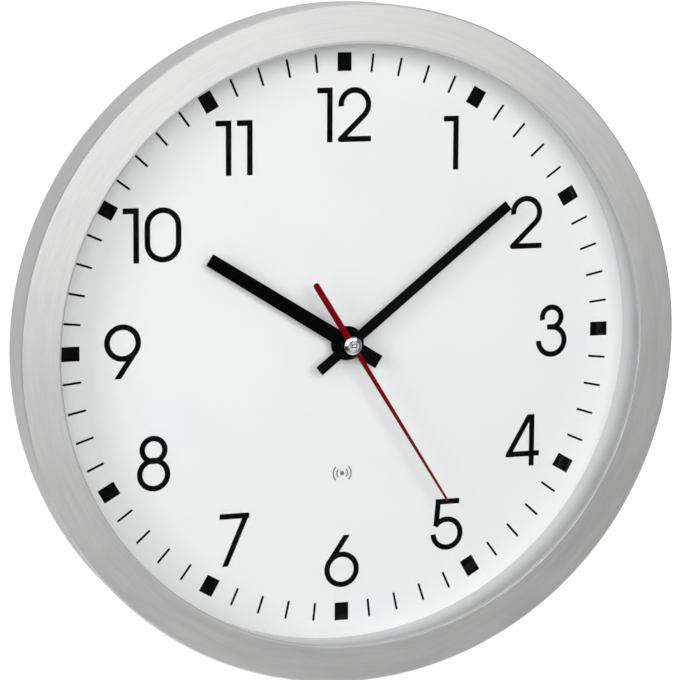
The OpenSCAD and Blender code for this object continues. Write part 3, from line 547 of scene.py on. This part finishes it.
def combine(piece, tool, operation):
    """Adds a tool's volume to a piece, or cuts it away, and removes the tool."""
    apply_modifier(piece, "BOOLEAN", operation=operation, object=tool, solver="EXACT")
    bpy.data.objects.remove(tool)


def soften(piece, width_mm):
    """Rounds every edge that is sharper than 35 degrees."""
    apply_modifier(piece, "BEVEL", width=width_mm * MM, segments=2, limit_method="ANGLE",
                   angle_limit=radians(35), use_clamp_overlap=True)
    smooth(piece, 40)


def settle(piece):
    """Moves a piece's place, turn and size into its mesh."""
    pick(piece)
    bpy.ops.object.transform_apply(location=True, rotation=True, scale=True)


def finish_piece(piece, name, material, slot, *replaced, body="clock_body"):
    """Names a piece, gives it its material, ties it to its body and hides the solids it
    replaces.
    """
    settle(piece)
    piece.name = piece.data.name = name
    piece.data.materials.clear()
    piece.data.materials.append(material)
    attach(piece, body)
    if replaced:
        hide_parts(*replaced)
    print(name, len(piece.data.polygons), "faces")
    return piece


WELD = 0.002 * MM
NO_SHIFT = Vector((0, 0, 0))


def lathe(profile, steps, centre=CENTRE, axis=OUT):
    """Spins a cross-section of (radius, height) round an axis through centre."""
    side = Vector((1, 0, 0)) if abs(axis.x) < 0.5 else Vector((0, 0, 1))
    points = [centre + MM * (r * side + h * axis) for r, h in profile]
    fresh()
    bpy.ops.mesh.primitive_plane_add(size=MM)
    piece = bpy.context.object
    bpy.ops.object.mode_set(mode="EDIT")
    bpy.ops.mesh.merge(type="CENTER")
    bpy.ops.transform.translate(value=points[0])
    for start, end in zip(points, points[1:]):
        bpy.ops.mesh.extrude_region_move(TRANSFORM_OT_translate={"value": end - start})
    bpy.ops.mesh.select_all(action="SELECT")
    bpy.ops.mesh.spin(steps=steps, angle=2 * pi, center=centre, axis=axis)
    bpy.ops.mesh.select_all(action="SELECT")
    bpy.ops.mesh.remove_doubles(threshold=WELD)
    bpy.ops.mesh.normals_make_consistent(inside=False)
    bpy.ops.object.mode_set(mode="OBJECT")
    return piece


def arc(centre, radius, first, last, steps):
    """Points of an arc in a cross-section, with its angles in degrees."""
    turns = [radians(first + (last - first) * i / steps) for i in range(steps + 1)]
    return [(centre[0] + radius * cos(a), centre[1] + radius * sin(a)) for a in turns]


def closed(profile):
    """A cross-section that ends where it starts."""
    return profile + profile[:1]


def pin(radius, low, high, steps=64):
    """A plain round tool round the Y axis, for cutting a bore."""
    return lathe([(0, low), (radius, low), (radius, high), (0, high)], steps, NO_SHIFT)


def duplicate(piece):
    """A copy with a mesh of its own."""
    pick(piece)
    bpy.ops.object.duplicate(linked=False)
    return bpy.context.object


def join(pieces):
    """Makes several pieces one."""
    pick(*pieces)
    bpy.ops.object.join()
    return bpy.context.object


def round_the_dial(model):
    """Copies of a piece made round the Y axis, one at each screw of the back."""
    copies = []
    for i in range(SCREW_COUNT):
        turn = 2 * pi * (i + 0.5) / SCREW_COUNT
        copy = duplicate(model)
        copy.location = CENTRE + SCREW_RING_R * MM * Vector((cos(turn), 0, sin(turn)))
        copy.rotation_euler = (0, -turn, 0)
        settle(copy)
        copies.append(copy)
    bpy.data.objects.remove(model)
    return join(copies)


def on_dial(x, z, h):
    """The place of a point on the dial's drawing, from x, z and height in mm."""
    return CENTRE + MM * Vector((x, -h, z))


def box_between(low, high):
    """A block between two corners in millimetres, as X, Z on the dial and height."""
    fresh()
    x, z, h = ((a + b) / 2 for a, b in zip(low, high))
    size = [abs(b - a) * MM for a, b in zip(low, high)]
    bpy.ops.mesh.primitive_cube_add(size=1, location=on_dial(x, z, h),
                                    scale=(size[0], size[2], size[1]))
    block = bpy.context.object
    settle(block)
    return block


def solid_copy(node, edge_mm):
    """A softer copy of a solid: points welded, flat faces made whole, edges rounded."""
    source = NODES[node]
    piece = source.copy()
    piece.data = source.data.copy()
    bpy.context.collection.objects.link(piece)
    piece.parent = None
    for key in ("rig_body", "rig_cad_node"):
        if key in piece:
            del piece[key]
    edit(piece)
    bpy.ops.mesh.remove_doubles(threshold=WELD)
    bpy.ops.mesh.dissolve_limited(angle_limit=radians(0.5))
    bpy.ops.mesh.normals_make_consistent(inside=False)
    bpy.ops.object.mode_set(mode="OBJECT")
    soften(piece, edge_mm)
    return piece


# %% [markdown]
# ## The case ring
# The ring is one sheet of aluminium, 0.8 mm thick: a side wall, a front face
# that rises 0.8 mm towards the window, and an edge that is folded back under the
# face as a hem on the glass. The fold and the outer corner have a 1 mm radius,
# and the front face is the straight line that touches both arcs. The
# cross-section is drawn from those two arcs and spun. Six holes in the flange
# take the screws of the back.

# %% Case ring
CASE_R = reach("case_ring")
RING_LOW_H, RING_HIGH_H = heights("case_ring")
FACE_WIDTH = 17.2
EDGE_R = 1.0
FACE_RISE = 0.8
SHEET = 0.8
GLASS_R = reach("front_glass")
HEM_R = GLASS_R + 0.3
FLANGE_R = GLASS_R + 0.4
SCREW_RING_R = 144.7
SCREW_COUNT = 6
SCREW_HOLE_R = 1.3
window_r = CASE_R - FACE_WIDTH
corner = (CASE_R - EDGE_R, RING_HIGH_H - EDGE_R - FACE_RISE)
roll = (window_r + EDGE_R, RING_HIGH_H - EDGE_R)
tilt = atan2(roll[1] - corner[1], corner[0] - roll[0])
under_corner = (corner[0] + (EDGE_R - SHEET) * sin(tilt),
                corner[1] + (EDGE_R - SHEET) * cos(tilt))
hem_top = under_corner[1] + (under_corner[0] - HEM_R) * tan(tilt)
burr = 0.2
ring_section = closed(
    [(CASE_R - burr, RING_LOW_H), (CASE_R, RING_LOW_H + burr)]
    + arc(corner, EDGE_R, 0, 90 - tilt * 180 / pi, 10)
    + arc(roll, EDGE_R, 90 - tilt * 180 / pi, 270, 24)
    + [(HEM_R, GLASS_HIGH_H), (HEM_R, hem_top), (CASE_R - SHEET, under_corner[1]),
       (CASE_R - SHEET, RING_LOW_H + SHEET), (FLANGE_R, RING_LOW_H + SHEET),
       (FLANGE_R, RING_LOW_H)])
ring = lathe(ring_section, 360)
drill = pin(SCREW_HOLE_R, RING_LOW_H - 1, RING_LOW_H + 2, 24)
combine(ring, round_the_dial(drill), "DIFFERENCE")
smooth(ring, 40)
finish_piece(ring, "case_ring_spun", aluminium, "brushed_aluminium", "case_ring")

# %% [markdown]
# ## Glass, gasket and the white wall
# The pane's edges are seamed: a small flat is ground on them so that they don't
# cut. It rests on a foam gasket, and that on a white wall which keeps the glass
# clear of the hands. From the front only the wall's inside shows, because it
# stands 3 mm back under the ring's edge.

# %% Glass, gasket and wall
seam = 0.3
pane = lathe([(0, GLASS_LOW_H), (GLASS_R - seam, GLASS_LOW_H), (GLASS_R, GLASS_LOW_H + seam),
              (GLASS_R, GLASS_HIGH_H - seam), (GLASS_R - seam, GLASS_HIGH_H),
              (0, GLASS_HIGH_H)], 180)
smooth(pane, 20)
finish_piece(pane, "glass_pane", glass, "clear_glass", "front_glass")

WALL_TUCK = 3.0
WALL_IN = window_r + WALL_TUCK
gasket_low, gasket_high = heights("glass_gasket")
gasket_out = reach("glass_gasket")
gasket_in = WALL_IN + 0.2
soft_edge = 0.12
gasket_mid = (gasket_low + gasket_high) / 2
gasket = lathe(closed([(gasket_in + soft_edge, gasket_low), (gasket_out, gasket_low),
                       (gasket_out, gasket_high), (gasket_in + soft_edge, gasket_high),
                       (gasket_in, gasket_mid)]), 180)
smooth(gasket, 50)
finish_piece(gasket, "foam_gasket", white_hips, "white_plastic", "glass_gasket")

wall_low, wall_high = heights("spacer_ring")
WALL_OUT = reach("spacer_ring")
round_r = 0.3
wall = lathe(closed(
    arc((WALL_IN + round_r, wall_low + round_r), round_r, 180, 270, 3)
    + [(WALL_OUT, wall_low), (WALL_OUT, wall_high)]
    + arc((WALL_IN + round_r, wall_high - round_r), round_r, 90, 180, 3)), 240)
smooth(wall, 40)
finish_piece(wall, "dial_wall", painted_shade_hips, "white_plastic", "spacer_ring")

# %% [markdown]
# ## The dial sheet
# The dial is 0.8 mm sheet with a hole for the movement's threaded bush. Its
# edges were punched, so the side that faces the viewer is rolled over a little.

# %% Dial sheet
BUSH_R = 4.0
hole_r = BUSH_R + 0.1


def punched(node, roll_r, steps):
    """A round sheet with a hole for the bush, rolled over at its front edges."""
    low, high = heights(node)
    outer_r = reach(node)
    disc = lathe(closed(
        [(hole_r, low), (outer_r, low)]
        + arc((outer_r - roll_r, high - roll_r), roll_r, 0, 90, 3)
        + arc((hole_r + roll_r, high - roll_r), roll_r, 90, 180, 3)), steps)
    smooth(disc, 40)
    return disc


sheet = punched("dial_plate", 0.15, 180)
finish_piece(sheet, "dial_sheet", dial_white, "dial_white", "dial_plate")

# %% [markdown]
# ## The hands
# The hour and minute hands are stamped bars with a riveted hub. A box is
# stretched to the blade's length, cut across at the centre so that it can taper
# both ways, and joined to a hub that is turned on the lathe with a low dome.
# Each hand is made pointing to twelve and then turned to its hour, clockwise
# for the viewer.


# %% Hand helpers
def select_points(piece, test):
    """In edit mode, selects the points whose place in millimetres passes a test."""
    pick(piece)
    bpy.ops.object.mode_set(mode="EDIT")
    bpy.ops.mesh.select_mode(type="VERT")
    bpy.ops.mesh.select_all(action="DESELECT")
    mesh = bmesh.from_edit_mesh(piece.data)
    for vert in mesh.verts:
        vert.select_set(test(vert.co / MM))
    mesh.select_flush(True)
    bmesh.update_edit_mesh(piece.data)


def blade(length, tail, root_w, tip_w, tail_w, thick):
    """A flat bar along Z with its wide place at Z = 0, from Y = 0 to -thick."""
    fresh()
    middle = (0, -thick / 2 * MM, (length - tail) / 2 * MM)
    bpy.ops.mesh.primitive_cube_add(size=1, location=middle,
                                    scale=(root_w * MM, thick * MM, (length + tail) * MM))
    bar = bpy.context.object
    settle(bar)
    edit(bar)
    bpy.ops.mesh.bisect(plane_co=(0, 0, 0), plane_no=(0, 0, 1))
    for test, width in ((lambda p: p.z > 1, tip_w), (lambda p: p.z < -1, tail_w)):
        select_points(bar, test)
        bpy.ops.transform.resize(value=(width / root_w, 1, 1), center_override=(0, 0, 0))
    bpy.ops.object.mode_set(mode="OBJECT")
    return bar


def hub(radius, bore, collar_h, thick):
    """A domed hub round the Y axis, with a collar below it that grips the tube."""
    crown = 0.3
    under = 0.02
    chamfer = 0.1
    collar_r = bore + 0.5
    return lathe([(0, -collar_h), (collar_r - chamfer, -collar_h),
                  (collar_r, chamfer - collar_h), (collar_r, -under),
                  (radius - 0.05, -under), (radius, 0.05),
                  (radius, thick - 0.25), (radius - 0.08, thick - 0.08),
                  (radius - 0.3, thick + crown * 0.3), (radius - 0.8, thick + crown * 0.7),
                  (radius - 1.5, thick + crown), (0, thick + crown)], 96, NO_SHIFT)


def hang_hand(hand, angle, height):
    """Turns a hand clockwise to its angle and moves it to its height over the wall."""
    hand.rotation_euler = (0, radians(angle), 0)
    hand.location = CENTRE + OUT * height * MM
    settle(hand)


# %% [markdown]
# The hour hand is the wide one at ten o'clock, with a large hub of 15.4 mm that
# hides the fixing nut. The minute hand is narrower, the same width all along.

# %% Hour and minute hands
HAND_T = 0.5
THROUGH = 5
HOUR = {"angle": 302, "length": 74.4, "tail": 17.4, "root_w": 6.6, "tip_w": 5.9,
        "tail_w": 6.4, "hub_r": 7.7, "bore": 2.02, "collar": 1.6}
MINUTE = {"angle": 51.3, "length": 95.2, "tail": 18.2, "root_w": 4.7, "tip_w": 4.7,
          "tail_w": 4.5, "hub_r": 3.85, "bore": 1.12, "collar": 1.4}


def flat_hand(sizes, node):
    """A bar and a hub made one, bored, softened and hung over the dial."""
    hand = blade(sizes["length"], sizes["tail"], sizes["root_w"], sizes["tip_w"],
                 sizes["tail_w"], HAND_T)
    combine(hand, hub(sizes["hub_r"], sizes["bore"], sizes["collar"], HAND_T), "UNION")
    combine(hand, pin(sizes["bore"], -THROUGH, THROUGH), "DIFFERENCE")
    soften(hand, 0.08)
    hang_hand(hand, sizes["angle"], heights(node)[1] - HAND_T)
    return hand


hour = flat_hand(HOUR, "hour_hand")
finish_piece(hour, "hour_hand_blade", black_lacquer, "black_lacquer", "hour_hand",
             body="hour_hand")
minute = flat_hand(MINUTE, "minute_hand")
finish_piece(minute, "minute_hand_blade", black_lacquer, "black_lacquer", "minute_hand",
             body="minute_hand")

# %% [markdown]
# The second hand is dark red and much thinner. Its tail is a counterweight with
# a round end, and its long arm runs to a 1 mm tip. It is gripped by a chrome
# socket: a small dome on a flange that falls away from it like a low cone. The
# dome is the brightest spot on the clock.

# %% Second hand and its socket
SECOND_T = 0.3
SECOND = {"angle": 148, "length": 85.7, "tail": 33.4, "root_w": 2.2, "tip_w": 1.0,
          "tail_w": 2.8}
SOCKET_R = 4.0
DOME_R = 2.5
NECK_R = DOME_R - 0.6
EYE_R = DOME_R + 0.6
ARBOR_R = 0.6
PUSH_GAP = 0.02

tail_r = SECOND["tail_w"] / 2
arm = blade(SECOND["length"], 1, SECOND["root_w"], SECOND["tip_w"], SECOND["root_w"],
            SECOND_T)
weight = blade(0.5, SECOND["tail"] - tail_r, SECOND["tail_w"], SECOND["tail_w"],
               SECOND["tail_w"], SECOND_T)
weight_end = pin(tail_r, 0, SECOND_T, 48)
weight_end.location.z = (tail_r - SECOND["tail"]) * MM
settle(weight_end)
for tool in (weight, weight_end, pin(EYE_R, -0.01, SECOND_T + 0.01)):
    combine(arm, tool, "UNION")
combine(arm, pin(NECK_R + PUSH_GAP, -THROUGH, THROUGH), "DIFFERENCE")
soften(arm, 0.05)
second_low = heights("second_hand")[0]
hang_hand(arm, SECOND["angle"], second_low)
finish_piece(arm, "second_hand_needle", red_lacquer, "red_lacquer", "second_hand",
             body="second_hand")

FLANGE_T = 0.5
FLANGE_FALL = 0.28
flange_low = second_low + SECOND_T + PUSH_GAP
flange_high = second_low + SECOND_T + FLANGE_T
neck_low = second_low - 2.2
neck_chamfer = 0.15
bore_r = ARBOR_R + PUSH_GAP
bore_top = second_low + 1 + PUSH_GAP
rim_r = 0.12
socket = lathe(
    [(0, bore_top), (bore_r, bore_top), (bore_r, neck_low),
     (NECK_R - neck_chamfer, neck_low), (NECK_R, neck_low + neck_chamfer),
     (NECK_R, flange_low), (SOCKET_R - rim_r, flange_low)]
    + arc((SOCKET_R - rim_r, flange_high - rim_r - FLANGE_FALL), rim_r, -60, 78, 6)
    + [(DOME_R + 0.05, flange_high)]
    + arc((0, flange_high), DOME_R, 2, 90, 24), 128)
smooth(socket, 40)
finish_piece(socket, "second_hand_cap", chrome, "chrome", "second_hand_socket",
             body="second_hand")

# %% [markdown]
# ## Washers and the hex nut
# The movement is held by its threaded bush: a rubber washer behind the dial, a
# brass washer before it and a hex nut on top. The nut is a short six-sided bar
# whose corners are turned off on a lathe, which leaves the curved edges that
# every real nut shows.

# %% Washers and nut
rubber_low, rubber_high = heights("rubber_washer")
rubber_r = reach("rubber_washer")
moulded_r = 0.3
rubber_ring = lathe(closed(
    [(hole_r, rubber_low)]
    + arc((rubber_r - moulded_r, rubber_low + moulded_r), moulded_r, -90, 0, 4)
    + arc((rubber_r - moulded_r, rubber_high - moulded_r), moulded_r, 0, 90, 4)
    + [(hole_r, rubber_high)]), 96)
smooth(rubber_ring, 50)
finish_piece(rubber_ring, "rubber_seal", rubber, "black_rubber", "rubber_washer")

washer = punched("brass_washer", 0.1, 96)
finish_piece(washer, "stamped_washer", turned_brass, "brass", "brass_washer")

nut_low, nut_high = heights("fixing_nut")
NUT_R = reach("fixing_nut")
fresh()
bpy.ops.mesh.primitive_cylinder_add(vertices=6, radius=NUT_R * MM,
                                    depth=(nut_high - nut_low) * MM,
                                    location=on_dial(0, 0, (nut_low + nut_high) / 2),
                                    rotation=(pi / 2, 0, 0))
nut = bpy.context.object
settle(nut)
edit(nut)
bpy.ops.transform.rotate(value=pi / 6, orient_axis="Y", center_override=CENTRE)
bpy.ops.object.mode_set(mode="OBJECT")
turned_in, turned_out, turned_h = NUT_R - 0.35, NUT_R + 0.4, 0.42
combine(nut, lathe([(0, nut_low), (turned_in, nut_low), (turned_out, nut_low + turned_h),
                    (turned_out, nut_high - turned_h), (turned_in, nut_high),
                    (0, nut_high)], 96), "INTERSECT")
thread_r = BUSH_R + 0.02
sink_r, sink_low, sink_high = BUSH_R + 0.5, nut_high - 0.3, nut_high + 0.2
combine(nut, lathe([(0, nut_low - 1), (thread_r, nut_low - 1), (thread_r, sink_low),
                    (sink_r, sink_high), (0, sink_high)], 64), "DIFFERENCE")
smooth(nut, 30)
finish_piece(nut, "hex_nut", turned_brass, "brass", "fixing_nut")

# %% [markdown]
# ## The back
# The back is one moulding: a plate, a rim that meets the wall, twelve ribs, a
# frame round the movement and a pocket for the wall screw's head. Its solid is
# exact already, so the piece is a welded copy with its edges rounded 0.25 mm,
# as a mould leaves them. The movement's two shells are made the same way, with
# finer edges.

# %% Back and movement shells from their solids
back = solid_copy("case_back", 0.25)
finish_piece(back, "case_back_moulding", black_abs, "black_plastic", "case_back")
front_shell = solid_copy("movement_front_case", 0.2)
finish_piece(front_shell, "movement_front_shell", movement_abs, "movement_plastic",
             "movement_front_case")
back_shell = solid_copy("movement_back_case", 0.15)

# %% [markdown]
# ## Marks on the movement
# A movement's back tells which way round the cell goes, with a raised plus and
# minus, and each button stands in a raised collar. The strokes are little bars,
# 0.25 mm proud of the plate, and the collars have a small bevel.

# %% Plus, minus and collars
BACK_H = heights("movement_back_case")[0]
MARK_RISE = 0.25
HALF_W, HALF_L = 0.35, 2.0
SIGN_X, SIGN_Z = 24.5, -11.5
proud, sunk = BACK_H - MARK_RISE, BACK_H + 0.3
for bar_x, half_x, half_z in ((SIGN_X, HALF_L, HALF_W), (SIGN_X, HALF_W, HALF_L),
                              (-SIGN_X, HALF_L, HALF_W)):
    bar = box_between((bar_x - half_x, SIGN_Z - half_z, proud),
                      (bar_x + half_x, SIGN_Z + half_z, sunk))
    combine(back_shell, bar, "UNION")

BUTTONS = {"set_button": -18, "search_button": 0, "reset_button": 18}
BUTTON_Z = 13.5
BUTTON_R = 2.0
collar_in, collar_out = BUTTON_R + 0.35, BUTTON_R + 1.05
bevel_w, collar_h = 0.1, proud - 0.08
for button_x in BUTTONS.values():
    collar = lathe(closed([(collar_in, sunk), (collar_in, proud),
                           (collar_in + bevel_w, collar_h), (collar_out - bevel_w, collar_h),
                           (collar_out, proud), (collar_out, sunk)]),
                   64, on_dial(button_x, BUTTON_Z, 0))
    combine(back_shell, collar, "UNION")
smooth(back_shell, 40)
finish_piece(back_shell, "movement_back_shell", movement_abs, "movement_plastic",
             "movement_back_case")

# %% [markdown]
# ## Buttons
# The three buttons set the clock by hand, start the search for the time signal
# and reset it. They are the same moulding: a cap with a rounded end that is
# slightly hollow for a fingertip, and a flange that keeps it in the housing.

# %% Buttons
button_low, button_high = heights("set_button")
CAP_ROUND = 0.35
foot_h, foot_r, foot_chamfer = button_high - 0.4, BUTTON_R + 0.8, 0.05
hollow = [(0, button_low + 0.12), (0.9, button_low + 0.04)]
cap = lathe(hollow
            + arc((BUTTON_R - CAP_ROUND, button_low + CAP_ROUND), CAP_ROUND, 270, 360, 5)
            + [(BUTTON_R, foot_h), (foot_r - foot_chamfer, foot_h),
               (foot_r, foot_h + foot_chamfer), (foot_r, button_high), (0, button_high)],
            64, on_dial(0, BUTTON_Z, 0))
smooth(cap, 40)
for button_name, button_x in BUTTONS.items():
    button = duplicate(cap)
    button.location.x = button_x * MM
    finish_piece(button, button_name + "_cap", button_abs, "button_plastic", button_name,
                 body=button_name)
bpy.data.objects.remove(cap)

# %% [markdown]
# ## Screws
# Six pan head screws hold the back to the ring's flange. The head is turned
# with a rounded rim and the cross is cut with two thin bars; the thread is left
# as a plain shank with a blunt tip, because it is never seen.

# %% Screws
screw_low, screw_high = heights("case_screws")
PLATE_T = 2.5
PLATE_BACK_H = heights("case_back")[1] - PLATE_T
HEAD_R = 2.4
HEAD_ROUND = 0.7
SHANK_R = 1.25
CROSS_LONG, CROSS_DEEP, CROSS_WIDE = 2.8 * MM, 0.9 * MM, 0.6 * MM
screw = lathe([(0, screw_high), (SHANK_R - 0.4, screw_high), (SHANK_R, screw_high - 0.6),
               (SHANK_R, PLATE_BACK_H), (HEAD_R, PLATE_BACK_H)]
              + arc((HEAD_R - HEAD_ROUND, screw_low + HEAD_ROUND), HEAD_ROUND, 0, -90, 6)
              + [(0, screw_low)], 48, NO_SHIFT)
for turn in (0, pi / 2):
    fresh()
    bpy.ops.mesh.primitive_cube_add(size=1, location=(0, -(screw_low + 0.35) * MM, 0),
                                    rotation=(0, turn, 0),
                                    scale=(CROSS_LONG, CROSS_DEEP, CROSS_WIDE))
    combine(screw, bpy.context.object, "DIFFERENCE")
smooth(screw, 35)
screws = round_the_dial(screw)
finish_piece(screws, "pan_head_screws", zinc_steel, "steel", "case_screws")

# %% [markdown]
# ## The cell
# An AA cell is a steel can, 14.5 mm across, in a printed shrink sleeve. The
# sleeve is folded over the can's ends by a millimetre, which leaves a raised
# lip with bare steel inside it, and the plus end has a nub. A plain sleeve in
# two blues is used, with no print.


# %% Cell
def cell_sleeve():
    """Shrink film in two plain colours, split across the cell's length."""
    material, tree, place = new_material("two_tone_shrink_film")
    length = add_node(tree, "SeparateXYZ", {0: place}).outputs["X"]
    band_at, band_edge = 13 * MM, 0.05 * MM
    band = ramp(tree, length, (band_at, band_at + band_edge))
    wrinkle = noise(tree, place, 3)
    surface(tree, {"Base Color": shades(tree, band, "#20456B", "#8FA6BC"),
                   "Roughness": spread(tree, wrinkle, 0.2, 0.28), "IOR": 1.53,
                   "Coat Weight": 0.3, "Coat Roughness": 0.08,
                   "Normal": relief(tree, wrinkle, 0.02)})
    return material


cell_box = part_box("battery_cell")
cell_centre = (cell_box[0] + cell_box[1]) / 2
cell_half = (cell_box[1].x - cell_box[0].x) / 2 / MM
CELL_R = (cell_box[1].z - cell_box[0].z) / 2 / MM
NUB_R, NUB_H, NUB_ROUND = 2.75, 1.5, 0.4
LENGTHWISE = Vector((1, 0, 0))
minus_end = -cell_half
shoulder = cell_half - NUB_H
sleeve_in, film_in, film_round = CELL_R - 1.2, CELL_R - 0.75, 0.6
can = lathe([(0, minus_end + 0.25), (CELL_R - 1.6, minus_end + 0.25),
             (CELL_R - 1.35, minus_end + 0.4), (sleeve_in, minus_end + 0.4),
             (sleeve_in, shoulder - 0.4), (NUB_R + 0.5, shoulder - 0.4),
             (NUB_R + 0.15, shoulder - 0.25), (NUB_R, shoulder)]
            + arc((NUB_R - NUB_ROUND, cell_half - NUB_ROUND), NUB_ROUND, 0, 90, 5)
            + [(0, cell_half)], 96, cell_centre, LENGTHWISE)
smooth(can, 45)
finish_piece(can, "cell_can", bright_steel, "steel", "battery_cell", body="battery_cell")
sleeve = lathe(closed(
    [(sleeve_in, minus_end + 0.3), (sleeve_in, minus_end + 0.08)]
    + arc((CELL_R - film_round, minus_end + film_round), film_round, 270, 360, 6)
    + arc((CELL_R - film_round, shoulder - film_round), film_round, 0, 90, 6)
    + [(sleeve_in, shoulder - 0.08), (sleeve_in, shoulder - 0.3),
       (film_in, shoulder - 0.5), (film_in, minus_end + 0.5)]),
    96, cell_centre, LENGTHWISE)
smooth(sleeve, 45)
finish_piece(sleeve, "cell_sleeve", cell_sleeve(), "cell_wrapper", body="battery_cell")

# %% [markdown]
# ## Studio
# The clock was photographed against white. It hangs well above a pale floor,
# which is left out of the clock's reflections and sends no light up to it.

# %% Floor
FLOOR_Z = -1.25
FLOOR_SIZE = 80
fresh()
bpy.ops.mesh.primitive_grid_add(x_subdivisions=8, y_subdivisions=8, size=FLOOR_SIZE,
                                location=(0, 0, FLOOR_Z))
floor = bpy.context.object
floor.name = "floor"
floor_paint, tree, place = new_material("pale_floor_paint")
surface(tree, {"Base Color": shades(tree, noise(tree, place, 900), "#F6F6F6", "#FAFAFA"),
               "Roughness": 0.8, "Emission Color": colour("#FFFFFF"),
               "Emission Strength": 0.6})
floor.data.materials.append(floor_paint)
floor.visible_glossy = False
floor.visible_diffuse = False

# %% [markdown]
# ## The room
# Metal shows the room around it, so the room is drawn as a brightness for each
# direction. In front it is dim, with a bright band at the clock's height that
# makes the brushed ring light, and a dark flag in it where a flat mirror would
# look back at the camera. Floor, side walls, ceiling and the wall behind are
# pale. Matt surfaces get one even grey from the front, because the softboxes
# light those.
#
# The photograph shows no reflection in the glass or the gloss paint, as through
# a polarising filter, which leaves metal alone. So a ray that comes off a true
# mirror, with a roughness of 0, sees the dark flag all over. The room differs
# from ray to ray, so it isn't sampled as a lamp.

# %% Room
FRONT_GREY, FLOOR_GREY, WALL_GREY = 0.06, 1.4, 0.68
BAY_GREY = 3.26
FLAG_GREY = 0.01
CEILING_GREY, SIDE_GREY = 1.1, 0.5
DIFFUSE_GREY = 0.2
PAPER_WHITE = 1.02
FLOOR_STEP, CEILING_STEP = (-0.8, -0.4), (0.55, 0.9)
BAND_RISE, BAND_FALL = (-0.18, -0.04), (0.25, 0.39)
BAND_SIDE, SIDE_STEP = (0.44, 0.58), (0.65, 0.9)
BAND_FRONT, BEHIND_STEP = (-0.2, 0.0), (-0.15, 0.3)
FLAG_STEP = (cos(radians(15)), cos(radians(9)))
MIRRORED = Vector((CAMERA_LOOK.x, -CAMERA_LOOK.y, CAMERA_LOOK.z)).normalized()
world = bpy.data.worlds.new("studio_room")
bpy.context.scene.world = world
world.use_nodes = True
world.cycles.sampling_method = "NONE"
tree = world.node_tree
tree.nodes.clear()
towards = add_node(tree, "TexCoord").outputs["Generated"]
direction = add_node(tree, "SeparateXYZ", {0: towards}).outputs
to_flag = add_node(tree, "VectorMath", {0: towards, 1: MIRRORED},
                   operation="DOT_PRODUCT").outputs["Value"]


def room_step(value, edges, low=0, high=1):
    """A soft step in the room's brightness between two values of a direction."""
    return ramp(tree, value, edges, low, high, soft=True)


def mixed(share, first, second):
    """Goes from the first level to the second as share goes from 0 to 1."""
    return ramp(tree, share, (0, 1), first, second)


def times(first, second):
    """The product of two levels."""
    return reckon(tree, "MULTIPLY", first, second)


sideways = add_node(tree, "Math", {0: direction["X"]}, operation="ABSOLUTE").outputs[0]
level_band = times(room_step(direction["Z"], BAND_RISE),
                   room_step(direction["Z"], BAND_FALL, 1, 0))
bay_share = times(times(room_step(sideways, BAND_SIDE, 1, 0), level_band),
                  room_step(direction["Y"], BAND_FRONT, 1, 0))
front = reckon(tree, "ADD", room_step(direction["Z"], FLOOR_STEP, FLOOR_GREY, FRONT_GREY),
               room_step(sideways, SIDE_STEP, 0, SIDE_GREY))
bay = reckon(tree, "ADD", front, times(bay_share, BAY_GREY))
flagged = mixed(room_step(to_flag, FLAG_STEP), bay, FLAG_GREY)
ceiling = room_step(direction["Z"], CEILING_STEP)
behind = room_step(direction["Y"], BEHIND_STEP)
ray = add_node(tree, "LightPath").outputs
before = mixed(ray["Is Diffuse Ray"], mixed(ceiling, flagged, CEILING_GREY), DIFFUSE_GREY)
lit = mixed(behind, before, mixed(ceiling, WALL_GREY, CEILING_GREY))
filtered = mixed(ray["Is Singular Ray"], lit, FLAG_GREY)
strength = mixed(ray["Is Camera Ray"], filtered, PAPER_WHITE)
background = add_node(tree, "Background", {"Color": colour("#FFFFFF"),
                                           "Strength": strength})
add_node(tree, "OutputWorld", {"Surface": background.outputs["Background"]})

# %% [markdown]
# ## Softboxes
# A large softbox stands over the camera, 16 degrees above the dial's axis. It
# lights the dial and lays the ring's soft shadow on the dial's upper edge. A
# weaker one fills in from 50 degrees to the left. Metal doesn't mirror them,
# because the room's bright band already stands for what it shows.


# %% Softboxes
def softbox(name, side, distance, width, height, power):
    """A rectangular area light that faces the dial from a direction."""
    fresh()
    place = CENTRE + Vector(side).normalized() * distance
    bpy.ops.object.light_add(type="AREA", location=place)
    lamp = bpy.context.object
    lamp.name = name
    lamp.data.shape = "RECTANGLE"
    lamp.data.size, lamp.data.size_y = width, height
    lamp.data.energy = power
    lamp.rotation_mode = "QUATERNION"
    lamp.rotation_quaternion = (CENTRE - place).to_track_quat("-Z", "Y")
    lamp.visible_glossy = False


softbox("key_softbox", (-0.12, -0.95, 0.27), 2.0, 1.4, 0.9, 29)
softbox("left_softbox", (-0.75, -0.63, 0.15), 1.5, 0.6, 0.8, 9.5)
print("studio: two softboxes, and a room that the metal mirrors")
